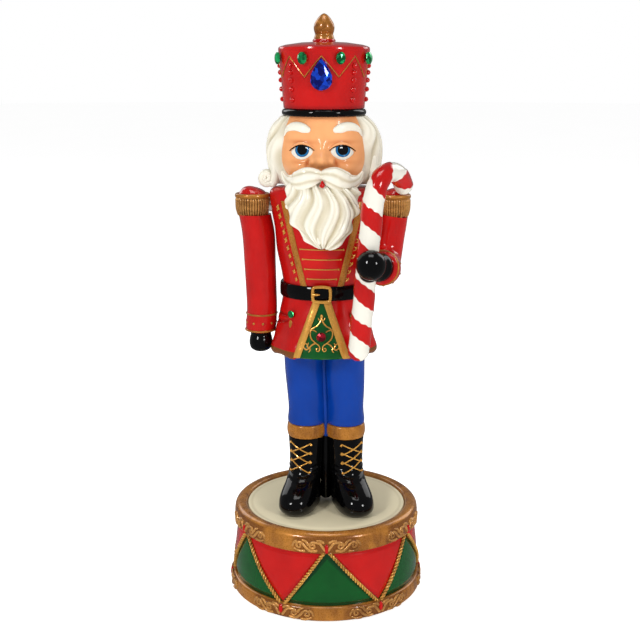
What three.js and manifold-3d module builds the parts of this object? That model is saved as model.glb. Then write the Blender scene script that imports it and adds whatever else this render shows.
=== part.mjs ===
// A musical nutcracker soldier on a drum: the figure's head turns and both arms swing, driven by a
// gearbox in the chest, and the drum holds the cells, the speaker and the sound board.
// Millimetres, +Z up. The figure faces -Y, and left and right are its own, so its right side is at -X.
// The origin is on the surface that the drum stands on, at the middle of the drum.
import * as THREE from "three";
import { mergeVertices } from "three/addons/utils/BufferGeometryUtils.js";
import Module from "manifold-3d";

const wasm = await Module();
wasm.setup();

// ---- Driving dimensions -------------------------------------------------------------------------

const GAP = 0.3; // between pieces that touch
const RUNNING_GAP = 0.5; // around what turns or slides

// Drum
const DRUM_HEIGHT = 56.6;
const TOP_HOOP_RADIUS = 58.2;
const BOTTOM_FLARE = 2.4; // how much wider the bottom hoop is than the top one
const TOP_HOOP_HEIGHT = 12.6;
const BOTTOM_HOOP_HEIGHT = 9.3;
const HOOP_PROUD = 2.4; // how far the top hoop stands out from the wall
const DRUM_WALL = 3;
const HOOP_LIP = 5.4; // how far the top hoop reaches in over the wall
const HEAD_RECESS = 1.6; // drumhead below the top of the hoop
const DRUMHEAD_THICKNESS = 3.3;
const LEDGE_WIDTH = 7;
const LEDGE_THICKNESS = 3;
const DRUM_SIDES = 48;

// Underside
const FOOT_HEIGHT = 1.3;
const FOOT_RADIUS = 5;
const FOOT_INSET = 1.5; // from the edge of the base plate
const FOOT_ANGLES = [35, 145, 215, 325];
const PLATE_THICKNESS = 2.5;
const BOSS_HEIGHT = 12;
const BOSS_RADIUS = 4.1;
const BOSS_INTO_WALL = 0.3; // each screw boss grows out of the drum's wall
const SCREW_ANGLES = [25, 155, 270];
const SCREW_RADIUS = 1.4;
const SCREW_LENGTH = 9.5;
const SCREW_HEAD_RADIUS = 2.6;
const SCREW_HEAD_HEIGHT = 1.3;

// Cells and what they feed
const CELL_RADIUS = 7.25;
const CELL_LENGTH = 50.5;
const CELL_COUNT = 3;
const CELL_PLAY = 0.75; // at each end of a cell, for its contacts
const TRAY_WALL = 1.5;
const TRAY_FRONT_Y = -44.5;
const DOOR_THICKNESS = 1.8;
const DOOR_TAB = 6.6; // how far the door reaches past the tray, for its screw
const DOOR_LEDGE_THICKNESS = 3.3;
const SPEAKER_RADIUS = 17;
const SPEAKER_DEPTH = 11.6;
const SPEAKER_Y = 29;
const GRILLE_HOLE_RADIUS = 2;
const GRILLE_CIRCLE = 8;
const GRILLE_COUNT = 6;
const BOARD_SIZE = [20, 20, 1.6];
const BOARD_CENTRE = [-30, 18, 9];
const SWITCH_TRAVEL = 4;
const SWITCH_Z = 18;
const SWITCH_BODY = [15, 5, 8];
const KNOB_SIZE = [3, 8.8, 3];
const KNOB_PROUD = 1.4;

const FIGURE_X = -1.5; // middle of the coat and the head
const FIGURE_DATUM = 56.6; // the figure's heights below are those on a drum of this height

// Legs
const LEG_X = 12.2;
const LEG_TOP_X = 12.75; // from the middle of the figure, which stands a little off the drum's middle
const BOOT_TOP_Z = 99.2;
const BAND_TOP_Z = 108;
const BAND_PROUD = 0.5;
const TROUSER_TOP_Z = 166;
const RIGHT_TOE_OUT = -13; // degrees
const LEFT_TOE_OUT = 20;
const LEAD_RADIUS = 1.6;
const LEAD_BORE_RADIUS = 2.6;

// Coat, as rings from the hem to the collar: height, half width, half depth, centre y
const COAT_RINGS = [
  [155, 32.2, 28, -1.5],
  [165, 30.2, 26.4, -1.2],
  [178, 27.6, 23.6, -0.6],
  [190, 25.2, 21.2, 0],
  [198.5, 25, 21, 0],
  [206, 26.2, 22, 0],
  [218, 28.6, 23.4, 0],
  [232, 29.8, 23.4, 0],
  [240, 31.8, 22.4, 0],
  [250, 32.2, 20, 0],
  [254, 27, 17, 0],
  [256, 15, 13, 0],
];
const COAT_WALL = 3;
const CAVITY_TOP_Z = 248;
const BELT_BOTTOM_Z = 190;
const BELT_TOP_Z = 198.5;
const BELT_THICKNESS = 1.3;
const BUCKLE_WIDTH = 11.6;
const BUCKLE_HEIGHT = 10;
const BUCKLE_BAR = 1.9;
const BUCKLE_THICKNESS = 1.5;
const APRON_GEM_RADIUS = 3;
const APRON_GEM_Z = 169.4;
const COAT_GEM_RADIUS = 2.4;
const COAT_GEM_X = 18;
const COAT_GEM_Z = 181;

// Mechanism in the torso
const HIP_PLATE_THICKNESS = 3;
const GEARBOX_SIZE = [27, 19, 33];
const GEARBOX_TOP_Z = 246.4;
const MOTOR_RADIUS = 7.5;
const MOTOR_LENGTH = 26;
const MOTOR_X = 5;
const SHAFT_RADIUS = 2.5;
const SPINDLE_RADIUS = 3.5;
const SHOULDER_Z = 243;

// Head and hat
const NECK_Z = 256.4;
const HEAD_RINGS = [
  [NECK_Z, 11, 11, 0],
  [260, 16, 14, -1],
  [264, 21.5, 18, -1.5],
  [270, 25.4, 21, -1],
  [277, 26.2, 22, -0.5],
  [286, 25.2, 22.2, 0],
  [293, 23.6, 22, 0],
  [297.7, 22.6, 21.6, 0],
];
const HAIR_RINGS = [
  [258, 28, 19, 4, -0.7],
  [265, 31.8, 22.5, 4, -0.7],
  [277, 33.6, 25, 3, -0.7],
  [288, 32, 25.4, 2, -0.6],
  [297.7, 25.4, 24.4, 0.5, 0],
];
const BEARD_RINGS = [
  [223.5, 2.5, 1.8, -29.5],
  [228, 7.5, 3.2, -30],
  [238, 15, 4.6, -29.8],
  [248, 19.6, 5.4, -28.4],
  [257, 21.4, 7, -26],
  [263, 22, 8, -23],
  [268, 19, 6, -21.5],
];
const HAIR_FRONT_Y = -7;
const CURL_RADIUS = 5.8;
const CURL_X = 33.8;
const CURL_Z = 261;
const NOSE_RADIUS = 4;
const NOSE_Z = 272.5;
const HAT_BAND_RADIUS = 24.9;
const HAT_BAND_HEIGHT = 3.5;
const HAT_BOTTOM_RADIUS = 23.9;
const HAT_TOP_RADIUS = 26.6;
const HAT_HEIGHT = 35;
const HAT_DOME = 3.3;
const FINIAL_HEIGHT = 15.6;
const FINIAL_RADIUS = 6.1;
const PEAK_COUNT = 8;
const GEM_Z = 330.6;
const GEM_HALF_SIZE = [3, 1.7, 3.75];
const PEAR_WIDTH = 13;
const PEAR_HEIGHT = 18;
const PEAR_THICKNESS = 3;
const PEAR_Z = 313;

// Arms
const RIGHT_ARM_HALF_WIDTH = 10.3; // at the shoulder
const LEFT_ARM_HALF_WIDTH = 9.5;
const EPAULETTE_BOTTOM_Z = 238.6;
const EPAULETTE_TOP_Z = 252;
const RIGHT_SLEEVE_BOTTOM_Z = 166;
const RIGHT_HAND_RADIUS = 7;
const RIGHT_HAND_LENGTH = 12.2;
const WRIST = [33.6, -35.6, 213.6];
const LEFT_HAND = [28, -48.8, 216.8];
const LEFT_HAND_RADIUS = 8.7;
const CANE_RADIUS = 6.1;
const HOOK_RADIUS = 5.6;
// Middles of the stick and its hook, counted from the middle of the left hand
const CANE_STICK = [
  [-9.8, 10, -51.6],
  [-5.4, 8, 0],
  [-2, 8.3, 36.4],
];
const CANE_HOOK = [
  [0.2, 10, 45],
  [3.8, 14.6, 49.2],
  [8.4, 22.4, 50.6],
  [13.4, 32, 48.4],
  [16.6, 40.6, 43.4],
];

const BODY_SIDES = 24;
const LIMB_SIDES = 16;
const ROD_SIDES = 12;

// ---- Materials ----------------------------------------------------------------------------------

function finish(color, roughness, metalness = 0) {
  return new THREE.MeshStandardMaterial({ color, roughness, metalness });
}
const redGloss = finish(0xbe1e19, 0.15);
const blueGloss = finish(0x0f3c91, 0.15);
const blackGloss = finish(0x0c0c0c, 0.12);
const goldPaint = finish(0xa8702f, 0.35, 0.6);
const creamGloss = finish(0xded4ac, 0.2);
const hairIvory = finish(0xebe8dc, 0.3);
const skinGloss = finish(0xe49b64, 0.2);
const caneWhite = finish(0xf4f0ea, 0.15);
const greenGem = finish(0x0a7a38, 0.05);
const blueGem = finish(0x0b35c8, 0.05);
const redGem = finish(0xb0101e, 0.05);
const blackPlastic = finish(0x191919, 0.5);
const whitePlastic = finish(0xd8d8d2, 0.5);
const rubberBlack = finish(0x141414, 0.85);
const steel = finish(0xb9bcc0, 0.3, 1);
const cellJacket = finish(0x3a3f45, 0.35, 0.4);
const boardGreen = finish(0x14552f, 0.5);

// ---- Shape helpers ------------------------------------------------------------------------------

const rad = THREE.MathUtils.degToRad;

// A geometry as a manifold solid, with its shared corners merged.
function solid(geometry) {
  const loose = geometry.index ? geometry.toNonIndexed() : geometry;
  const bare = new THREE.BufferGeometry();
  bare.setAttribute("position", loose.getAttribute("position").clone());
  const merged = mergeVertices(bare, 1e-4);
  const vertProperties = merged.getAttribute("position").array;
  const triVerts = new Uint32Array(merged.index.array);
  return new wasm.Manifold(new wasm.Mesh({ numProp: 3, vertProperties, triVerts }));
}

function geometryOf(manifold) {
  const { numProp, numVert, vertProperties, triVerts } = manifold.getMesh();
  const points = new Float32Array(numVert * 3);
  for (let i = 0; i < numVert; i++) {
    points.set(vertProperties.subarray(i * numProp, i * numProp + 3), i * 3);
  }
  const made = new THREE.BufferGeometry();
  made.setAttribute("position", new THREE.BufferAttribute(points, 3));
  made.setIndex(new THREE.BufferAttribute(new Uint32Array(triVerts), 1));
  return made;
}

function joined(first, ...others) {
  return geometryOf(others.reduce((sum, g) => sum.add(solid(g)), solid(first)));
}

function cut(body, ...tools) {
  return geometryOf(tools.reduce((rest, g) => rest.subtract(solid(g)), solid(body)));
}

// A closed skin over rings of points, each ring counter-clockwise seen from the far end.
function skin(rings) {
  const sides = rings[0].length;
  const points = [];
  const faces = [];
  for (const ring of rings) {
    for (const p of ring) points.push(...p);
  }
  const middle = (ring) => [0, 1, 2].map((k) => ring.reduce((s, p) => s + p[k], 0) / sides);
  const first = rings.length * sides;
  points.push(...middle(rings[0]), ...middle(rings[rings.length - 1]));
  for (let i = 0; i < sides; i++) {
    const next = (i + 1) % sides;
    for (let r = 0; r < rings.length - 1; r++) {
      const a = r * sides + i;
      const b = r * sides + next;
      faces.push(a, b, b + sides, a, b + sides, a + sides);
    }
    const top = (rings.length - 1) * sides;
    faces.push(first, next, i, first + 1, top + i, top + next);
  }
  const made = new THREE.BufferGeometry();
  made.setAttribute("position", new THREE.Float32BufferAttribute(points, 3));
  made.setIndex(faces);
  return made;
}

// Level ellipses one above another. Each ring is [height, half width, half depth, centre y, centre x,
// taper], where the taper narrows the back and widens the front by that share.
function stack(rings, sides = BODY_SIDES) {
  return skin(
    rings.map(([z, halfWidth, halfDepth, y = 0, x = 0, taper = 0]) =>
      Array.from({ length: sides }, (_, i) => {
        const a = (i / sides) * 2 * Math.PI;
        const narrowed = halfWidth * (1 - taper * Math.sin(a));
        return [x + narrowed * Math.cos(a), y + halfDepth * Math.sin(a), z];
      }),
    ),
  );
}

// Ellipses across a path. Each station is [x, y, z, radius, radius across], where the first radius lies
// along side, a direction across the path.
function limb(stations, side, sides = LIMB_SIDES) {
  const points = stations.map(([x, y, z]) => new THREE.Vector3(x, y, z));
  return skin(
    stations.map(([, , , radius, across = radius], i) => {
      const before = points[Math.max(i - 1, 0)];
      const after = points[Math.min(i + 1, points.length - 1)];
      const along = after.clone().sub(before).normalize();
      const u = side.clone().addScaledVector(along, -side.dot(along)).normalize();
      const v = along.clone().cross(u);
      return Array.from({ length: sides }, (_, k) => {
        const a = (k / sides) * 2 * Math.PI;
        const p = points[i].clone();
        p.addScaledVector(u, radius * Math.cos(a)).addScaledVector(v, across * Math.sin(a));
        return p.toArray();
      });
    }),
  );
}

// A half circle of shrinking stations that rounds off the end of a limb of one radius.
function roundEnd(from, direction, radius, steps = 4) {
  return Array.from({ length: steps }, (_, i) => {
    const a = ((i + 1) / (steps + 0.35)) * (Math.PI / 2);
    const p = from.clone().addScaledVector(direction, radius * Math.sin(a));
    return [...p.toArray(), radius * Math.cos(a)];
  });
}

function lathe(profile, sides = DRUM_SIDES) {
  const points = profile.map(([r, z]) => new THREE.Vector2(r, z));
  return new THREE.LatheGeometry(points, sides).rotateX(Math.PI / 2);
}

// A ring of the section that the points go round, counter-clockwise with the radius to the right.
function ring(section, sides = DRUM_SIDES) {
  return lathe([...section, section[0]], sides);
}

function rod(radius, from, to, sides = ROD_SIDES) {
  const start = new THREE.Vector3(...from);
  const end = new THREE.Vector3(...to);
  const along = end.clone().sub(start);
  const turn = new THREE.Quaternion().setFromUnitVectors(
    new THREE.Vector3(0, 1, 0),
    along.clone().normalize(),
  );
  const made = new THREE.CylinderGeometry(radius, radius, along.length(), sides);
  made.applyQuaternion(turn);
  return made.translate(...start.add(end).multiplyScalar(0.5).toArray());
}

function box(low, high) {
  const size = high.map((v, i) => v - low[i]);
  const middle = high.map((v, i) => (v + low[i]) / 2);
  return new THREE.BoxGeometry(...size).translate(...middle);
}

function ball(radius, centre, across = 12, up = 8) {
  return new THREE.SphereGeometry(radius, across, up).rotateX(Math.PI / 2).translate(...centre);
}

// The section of a stack at a height: [half width, half depth, centre y].
function sectionAt(rings, z) {
  const above = Math.max(1, rings.findIndex((r) => r[0] >= z));
  const [a, b] = [rings[above - 1], rings[above]];
  const t = (z - a[0]) / (b[0] - a[0]);
  return [1, 2, 3].map((k) => a[k] + t * (b[k] - a[k]));
}

function grown(rings, by) {
  return rings.map(([z, w, d, ...centre]) => [z, w + by, d + by, ...centre]);
}

// The front of a stack: y at a height and a distance from the middle.
function frontOf(rings, x, z) {
  const [w, d, y] = sectionAt(rings, z);
  return y - d * Math.sqrt(1 - (x / w) ** 2);
}

function onCircle(radius, degrees) {
  return [radius * Math.cos(rad(degrees)), radius * Math.sin(rad(degrees))];
}

const figure = new THREE.Group();

function add(name, geometry, material, parent = figure) {
  const mesh = new THREE.Mesh(geometry, material);
  mesh.name = name;
  parent.add(mesh);
  return mesh;
}

// ---- Drum ---------------------------------------------------------------------------------------

const bottomHoopRadius = TOP_HOOP_RADIUS + BOTTOM_FLARE;
const hoopBottomZ = DRUM_HEIGHT - TOP_HOOP_HEIGHT;
const bottomHoopTopZ = FOOT_HEIGHT + BOTTOM_HOOP_HEIGHT;
const wallTopRadius = TOP_HOOP_RADIUS - HOOP_PROUD;
const wallBottomRadius = bottomHoopRadius - HOOP_PROUD - GAP;
const wallInsideRadius = wallTopRadius - DRUM_WALL;
const drumheadTopZ = DRUM_HEIGHT - HEAD_RECESS;
const drumheadBottomZ = drumheadTopZ - DRUMHEAD_THICKNESS;
const wallTopZ = drumheadBottomZ - GAP;
const lipRadius = wallTopRadius - HOOP_LIP;
const plateBottomZ = FOOT_HEIGHT + GAP;
const plateTopZ = plateBottomZ + PLATE_THICKNESS;
const plateRadius = wallInsideRadius - GAP;
const screwCircle = wallInsideRadius - BOSS_RADIUS + BOSS_INTO_WALL;
const footCircle = plateRadius - FOOT_RADIUS - FOOT_INSET;

function drumShell() {
  const wall = ring([
    [wallInsideRadius, plateBottomZ],
    [wallBottomRadius, plateBottomZ],
    [wallBottomRadius, bottomHoopTopZ],
    [wallTopRadius, hoopBottomZ],
    [wallTopRadius, wallTopZ],
    [wallInsideRadius - LEDGE_WIDTH, wallTopZ],
    [wallInsideRadius - LEDGE_WIDTH, wallTopZ - LEDGE_THICKNESS],
    [wallInsideRadius, wallTopZ - LEDGE_THICKNESS],
  ]);
  const bossBottomZ = plateTopZ + GAP;
  const bosses = SCREW_ANGLES.map((angle) => {
    const [x, y] = onCircle(screwCircle, angle);
    return rod(BOSS_RADIUS, [x, y, bossBottomZ], [x, y, bossBottomZ + BOSS_HEIGHT]);
  });
  const pilots = SCREW_ANGLES.map((angle) => {
    const [x, y] = onCircle(screwCircle, angle);
    return rod(SCREW_RADIUS + GAP, [x, y, plateBottomZ], [x, y, plateBottomZ + SCREW_LENGTH + 1]);
  });
  const slotHalf = (KNOB_SIZE[0] + SWITCH_TRAVEL) / 2 + RUNNING_GAP;
  const slotRise = KNOB_SIZE[2] / 2 + RUNNING_GAP;
  const slot = box(
    [-slotHalf, wallInsideRadius - DRUM_WALL, SWITCH_Z - slotRise],
    [slotHalf, bottomHoopRadius, SWITCH_Z + slotRise],
  );
  return cut(joined(wall, ...bosses), ...pilots, slot);
}

function topHoop() {
  const inside = wallTopRadius + GAP;
  return ring([
    [inside, hoopBottomZ],
    [TOP_HOOP_RADIUS - 0.9, hoopBottomZ],
    [TOP_HOOP_RADIUS, hoopBottomZ + 1.6],
    [TOP_HOOP_RADIUS, DRUM_HEIGHT - 3.4],
    [TOP_HOOP_RADIUS - 1.6, DRUM_HEIGHT - 0.6],
    [TOP_HOOP_RADIUS - 3.6, DRUM_HEIGHT],
    [lipRadius + 1.4, DRUM_HEIGHT - 0.3],
    [lipRadius, DRUM_HEIGHT - 1.4],
    [lipRadius, drumheadBottomZ],
    [inside, drumheadBottomZ],
  ]);
}

function bottomHoop() {
  const inside = wallBottomRadius + GAP;
  return ring([
    [inside, FOOT_HEIGHT],
    [bottomHoopRadius - 1, FOOT_HEIGHT],
    [bottomHoopRadius, FOOT_HEIGHT + 1.8],
    [bottomHoopRadius, bottomHoopTopZ - 1.8],
    [bottomHoopRadius - 1, bottomHoopTopZ],
    [inside, bottomHoopTopZ],
  ]);
}

function drumhead() {
  const radius = lipRadius - GAP;
  const disc = lathe([
    [0, drumheadBottomZ],
    [radius, drumheadBottomZ],
    [radius, drumheadTopZ],
    [0, drumheadTopZ],
  ]);
  const below = drumheadBottomZ - 1;
  return cut(disc, rod(LEAD_BORE_RADIUS, [LEG_X, 0, below], [LEG_X, 0, drumheadTopZ + 1]));
}

add("drum_shell", drumShell(), redGloss);
add("top_hoop", topHoop(), goldPaint);
add("bottom_hoop", bottomHoop(), goldPaint);
add("drumhead", drumhead(), creamGloss);

// ---- Underside, cells and sound -------------------------------------------------------------------

const trayHalfX = CELL_LENGTH / 2 + CELL_PLAY;
const trayDepthY = CELL_COUNT * (2 * CELL_RADIUS + GAP);
const trayBackY = TRAY_FRONT_Y + 2 * TRAY_WALL + trayDepthY;
const doorBackY = trayBackY + DOOR_TAB;
const doorTopZ = plateBottomZ + DOOR_THICKNESS;
const cellZ = doorTopZ + GAP + CELL_RADIUS;
const trayTopZ = cellZ + CELL_RADIUS + GAP;
const doorScrewY = trayBackY + DOOR_TAB / 2;

function basePlate() {
  const disc = lathe([
    [0, plateBottomZ],
    [plateRadius, plateBottomZ],
    [plateRadius, plateTopZ],
    [0, plateTopZ],
  ]);
  const tray = box(
    [-trayHalfX - TRAY_WALL, TRAY_FRONT_Y, plateBottomZ],
    [trayHalfX + TRAY_WALL, trayBackY, trayTopZ + TRAY_WALL],
  );
  const tabSeat = box(
    [-trayHalfX, trayBackY - TRAY_WALL, plateBottomZ],
    [trayHalfX, doorBackY + TRAY_WALL, doorTopZ + DOOR_LEDGE_THICKNESS],
  );
  const cells = box(
    [-trayHalfX, TRAY_FRONT_Y + TRAY_WALL, plateBottomZ - 1],
    [trayHalfX, trayBackY - TRAY_WALL, trayTopZ],
  );
  const mouth = box(
    [-trayHalfX, TRAY_FRONT_Y + TRAY_WALL, plateBottomZ - 1],
    [trayHalfX, doorBackY, doorTopZ + GAP],
  );
  const doorPilot = rod(
    SCREW_RADIUS + GAP,
    [0, doorScrewY, plateBottomZ - 1],
    [0, doorScrewY, plateBottomZ + SCREW_LENGTH],
  );
  const holes = SCREW_ANGLES.flatMap((angle) => {
    const [x, y] = onCircle(screwCircle, angle);
    const seatZ = plateBottomZ + SCREW_HEAD_HEIGHT + GAP;
    return [
      rod(SCREW_RADIUS + GAP, [x, y, plateBottomZ - 1], [x, y, plateTopZ + 1]),
      rod(SCREW_HEAD_RADIUS + GAP, [x, y, plateBottomZ - 1], [x, y, seatZ]),
    ];
  });
  const grille = Array.from({ length: GRILLE_COUNT + 1 }, (_, i) => {
    const [x, y] = i ? onCircle(GRILLE_CIRCLE, (i * 360) / GRILLE_COUNT) : [0, 0];
    const at = [x, y + SPEAKER_Y];
    return rod(GRILLE_HOLE_RADIUS, [...at, plateBottomZ - 1], [...at, plateTopZ + 1], 8);
  });
  const [boardX, boardY] = BOARD_CENTRE;
  const post = rod(3, [boardX, boardY, plateTopZ - 1], [
    boardX,
    boardY,
    BOARD_CENTRE[2] - BOARD_SIZE[2] / 2 - GAP,
  ]);
  return cut(joined(disc, tray, tabSeat, post), cells, mouth, doorPilot, ...holes, ...grille);
}

function batteryDoor() {
  const plate = box(
    [-trayHalfX + GAP, TRAY_FRONT_Y + TRAY_WALL + GAP, plateBottomZ],
    [trayHalfX - GAP, doorBackY - GAP, doorTopZ],
  );
  const shaftHole = rod(SCREW_RADIUS + GAP, [0, doorScrewY, 0], [0, doorScrewY, doorTopZ + 1]);
  const headSeat = rod(
    SCREW_HEAD_RADIUS + GAP,
    [0, doorScrewY, 0],
    [0, doorScrewY, plateBottomZ + SCREW_HEAD_HEIGHT],
  );
  return cut(plate, shaftHole, headSeat);
}

// A screw that points up, with its head at the bottom and a cross slot in the head.
function screw(x, y, bottomZ) {
  const shaft = rod(SCREW_RADIUS, [x, y, bottomZ + 0.5], [x, y, bottomZ + SCREW_LENGTH], 8);
  const headTopZ = bottomZ + SCREW_HEAD_HEIGHT - GAP;
  const head = rod(SCREW_HEAD_RADIUS, [x, y, bottomZ], [x, y, headTopZ]);
  const arm = SCREW_HEAD_RADIUS * 0.65;
  const half = 0.3;
  const deep = bottomZ + 0.6;
  const slotX = box([x - arm, y - half, bottomZ - 1], [x + arm, y + half, deep]);
  const slotY = box([x - half, y - arm, bottomZ - 1], [x + half, y + arm, deep]);
  return cut(joined(shaft, head), slotX, slotY);
}

function cell() {
  const tipRadius = 2.7;
  const shoulder = CELL_LENGTH / 2 - 1.2;
  return lathe(
    [
      [0, -CELL_LENGTH / 2],
      [CELL_RADIUS, -CELL_LENGTH / 2],
      [CELL_RADIUS, shoulder],
      [tipRadius, shoulder],
      [tipRadius, CELL_LENGTH / 2],
      [0, CELL_LENGTH / 2],
    ],
    ROD_SIDES,
  );
}

function speaker() {
  const bottomZ = plateTopZ + GAP;
  const flange = 1.6;
  const neck = SPEAKER_RADIUS * 0.55;
  return lathe(
    [
      [0, bottomZ],
      [SPEAKER_RADIUS, bottomZ],
      [SPEAKER_RADIUS, bottomZ + flange],
      [SPEAKER_RADIUS - 2, bottomZ + flange],
      [neck, bottomZ + SPEAKER_DEPTH / 2],
      [neck, bottomZ + SPEAKER_DEPTH],
      [0, bottomZ + SPEAKER_DEPTH],
    ],
    ROD_SIDES,
  ).translate(0, SPEAKER_Y, 0);
}

function soundBoard() {
  const low = BOARD_CENTRE.map((v, i) => v - BOARD_SIZE[i] / 2);
  const high = BOARD_CENTRE.map((v, i) => v + BOARD_SIZE[i] / 2);
  const chipHeight = 1.8;
  const board = box(low, high);
  const chip = box(
    [low[0] + 3, low[1] + 3, high[2] - 0.5],
    [low[0] + 10, low[1] + 12, high[2] + chipHeight],
  );
  const socket = box(
    [high[0] - 6, low[1] + 4, high[2] - 0.5],
    [high[0] - 1, low[1] + 16, high[2] + 2 * chipHeight],
  );
  return joined(board, chip, socket);
}

function switchHousing() {
  const frontY = wallInsideRadius - 0.8;
  const [width, depth, height] = SWITCH_BODY;
  const body = box(
    [-width / 2, frontY - depth, SWITCH_Z - height / 2],
    [width / 2, frontY, SWITCH_Z + height / 2],
  );
  const slotHalf = (KNOB_SIZE[0] + SWITCH_TRAVEL) / 2 + RUNNING_GAP;
  const slotRise = KNOB_SIZE[2] / 2 + RUNNING_GAP;
  const knobInside = wallBottomRadius + KNOB_PROUD - KNOB_SIZE[1];
  const slot = box(
    [-slotHalf, knobInside - RUNNING_GAP, SWITCH_Z - slotRise],
    [slotHalf, frontY + 1, SWITCH_Z + slotRise],
  );
  return cut(body, slot);
}

function switchKnob() {
  const outside = wallBottomRadius + KNOB_PROUD;
  const x = -SWITCH_TRAVEL / 2;
  const half = KNOB_SIZE.map((v) => v / 2);
  return box(
    [x - half[0], outside - KNOB_SIZE[1], SWITCH_Z - half[2]],
    [x + half[0], outside, SWITCH_Z + half[2]],
  );
}

add("base_plate", basePlate(), blackPlastic);
add("battery_door", batteryDoor(), blackPlastic);
add("battery_door_screw", screw(0, doorScrewY, plateBottomZ), steel);
SCREW_ANGLES.forEach((angle, i) => {
  add("base_screw_" + (i + 1), screw(...onCircle(screwCircle, angle), plateBottomZ), steel);
});
FOOT_ANGLES.forEach((angle, i) => {
  const [x, y] = onCircle(footCircle, angle);
  add("rubber_foot_" + (i + 1), rod(FOOT_RADIUS, [x, y, 0], [x, y, FOOT_HEIGHT]), rubberBlack);
});
for (let i = 0; i < CELL_COUNT; i++) {
  const mesh = add("battery_" + (i + 1), cell(), cellJacket);
  const pitch = 2 * CELL_RADIUS + GAP;
  mesh.rotation.y = (i % 2 ? -1 : 1) * (Math.PI / 2);
  mesh.position.set(0, TRAY_FRONT_Y + TRAY_WALL + (i + 0.5) * pitch, cellZ);
}
add("speaker", speaker(), blackPlastic);
add("sound_board", soundBoard(), boardGreen);
add("switch_housing", switchHousing(), whitePlastic);
add("switch_knob", switchKnob(), blackPlastic);

// ---- Legs ---------------------------------------------------------------------------------------

const soldier = new THREE.Group(); // the figure, which stands on the drumhead
const lift = DRUM_HEIGHT - FIGURE_DATUM;
soldier.position.z = lift;
figure.add(soldier);

const bootBottomZ = drumheadTopZ + GAP - lift;
const legTopRadius = LEG_TOP_X - GAP / 2;
const legRadius = LEG_X - GAP / 2 - BAND_PROUD;

function leadBore(fromZ, toZ) {
  return rod(LEAD_BORE_RADIUS, [LEG_X, 0, fromZ - 1], [LEG_X, 0, toZ + 1]);
}

// The boot about its own upright axis, with its toe towards -Y.
function bootRings() {
  const z = bootBottomZ;
  const taper = 0.17;
  return [
    [z, 10.2, 20.4, -8.8, 0, taper],
    [z + 1, 11, 21.6, -9.2, 0, taper],
    [z + 5, 11.2, 22, -9.4, 0, taper],
    [z + 10, 11, 20.6, -8.6, 0, taper],
    [z + 15, 10.6, 17, -5.8, 0, taper / 2],
    [z + 20, 10.3, 12.9, -2.4],
    [z + 26, 10.3, 11.4, -0.6],
    [z + 34, 10.8, 11.6, 0],
    [BOOT_TOP_Z, legRadius, legRadius + 0.4, 0],
  ];
}

function boot(side, toeOut) {
  const made = stack(bootRings()).rotateZ(rad(toeOut)).translate(side * LEG_X, 0, 0);
  return side > 0 ? cut(made, leadBore(bootBottomZ, BOOT_TOP_Z)) : made;
}

function trouserLeg(side) {
  const bottomZ = BOOT_TOP_Z + GAP;
  const bandRadius = legRadius + BAND_PROUD;
  const edge = 0.7;
  const x = side * LEG_X;
  const topX = FIGURE_X + side * LEG_TOP_X;
  const rings = [
    [bottomZ, bandRadius - 0.3, bandRadius, 0, x],
    [bottomZ + edge, bandRadius, bandRadius + 0.4, 0, x],
    [BAND_TOP_Z - edge, bandRadius, bandRadius + 0.4, 0, x],
    [BAND_TOP_Z, bandRadius - 0.3, bandRadius, 0, x],
    [BAND_TOP_Z + 0.2, legRadius - 0.2, legRadius, 0, x],
    [148, legTopRadius, legTopRadius + 0.6, 0, topX],
    [TROUSER_TOP_Z, legTopRadius, legTopRadius + 0.6, 0, topX],
  ];
  const made = stack(rings);
  return side > 0 ? cut(made, leadBore(bottomZ, TROUSER_TOP_Z)) : made;
}

add("right_boot", boot(-1, RIGHT_TOE_OUT), blackGloss, soldier);
add("left_boot", boot(1, LEFT_TOE_OUT), blackGloss, soldier);
add("right_trouser_leg", trouserLeg(-1), blueGloss, soldier);
add("left_trouser_leg", trouserLeg(1), blueGloss, soldier);

// ---- Coat ---------------------------------------------------------------------------------------

const torso = new THREE.Group();
torso.position.x = FIGURE_X;
soldier.add(torso);

const spindleHole = SPINDLE_RADIUS + RUNNING_GAP;
const shaftHole = SHAFT_RADIUS + RUNNING_GAP;

function coat() {
  const inner = COAT_RINGS.filter(([z]) => z < CAVITY_TOP_Z);
  const hollow = grown(inner, -COAT_WALL);
  hollow[0][0] -= 1;
  hollow.push([CAVITY_TOP_Z, 22, 14, 0]);
  const collarZ = COAT_RINGS[COAT_RINGS.length - 1][0];
  return cut(
    stack(COAT_RINGS),
    stack(hollow),
    rod(spindleHole, [0, 0, CAVITY_TOP_Z - 1], [0, 0, collarZ + 1]),
    rod(shaftHole, [-COAT_RINGS[0][1], 0, SHOULDER_Z], [COAT_RINGS[0][1], 0, SHOULDER_Z]),
  );
}

function belt() {
  const heights = [BELT_BOTTOM_Z, BELT_TOP_Z];
  const rings = heights.map((z) => [z, ...sectionAt(COAT_RINGS, z)]);
  const bore = grown(rings, GAP);
  bore[0][0] -= 1;
  bore[1][0] += 1;
  return cut(stack(grown(rings, GAP + BELT_THICKNESS)), stack(bore));
}

const beltMiddleZ = (BELT_BOTTOM_Z + BELT_TOP_Z) / 2;

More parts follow.
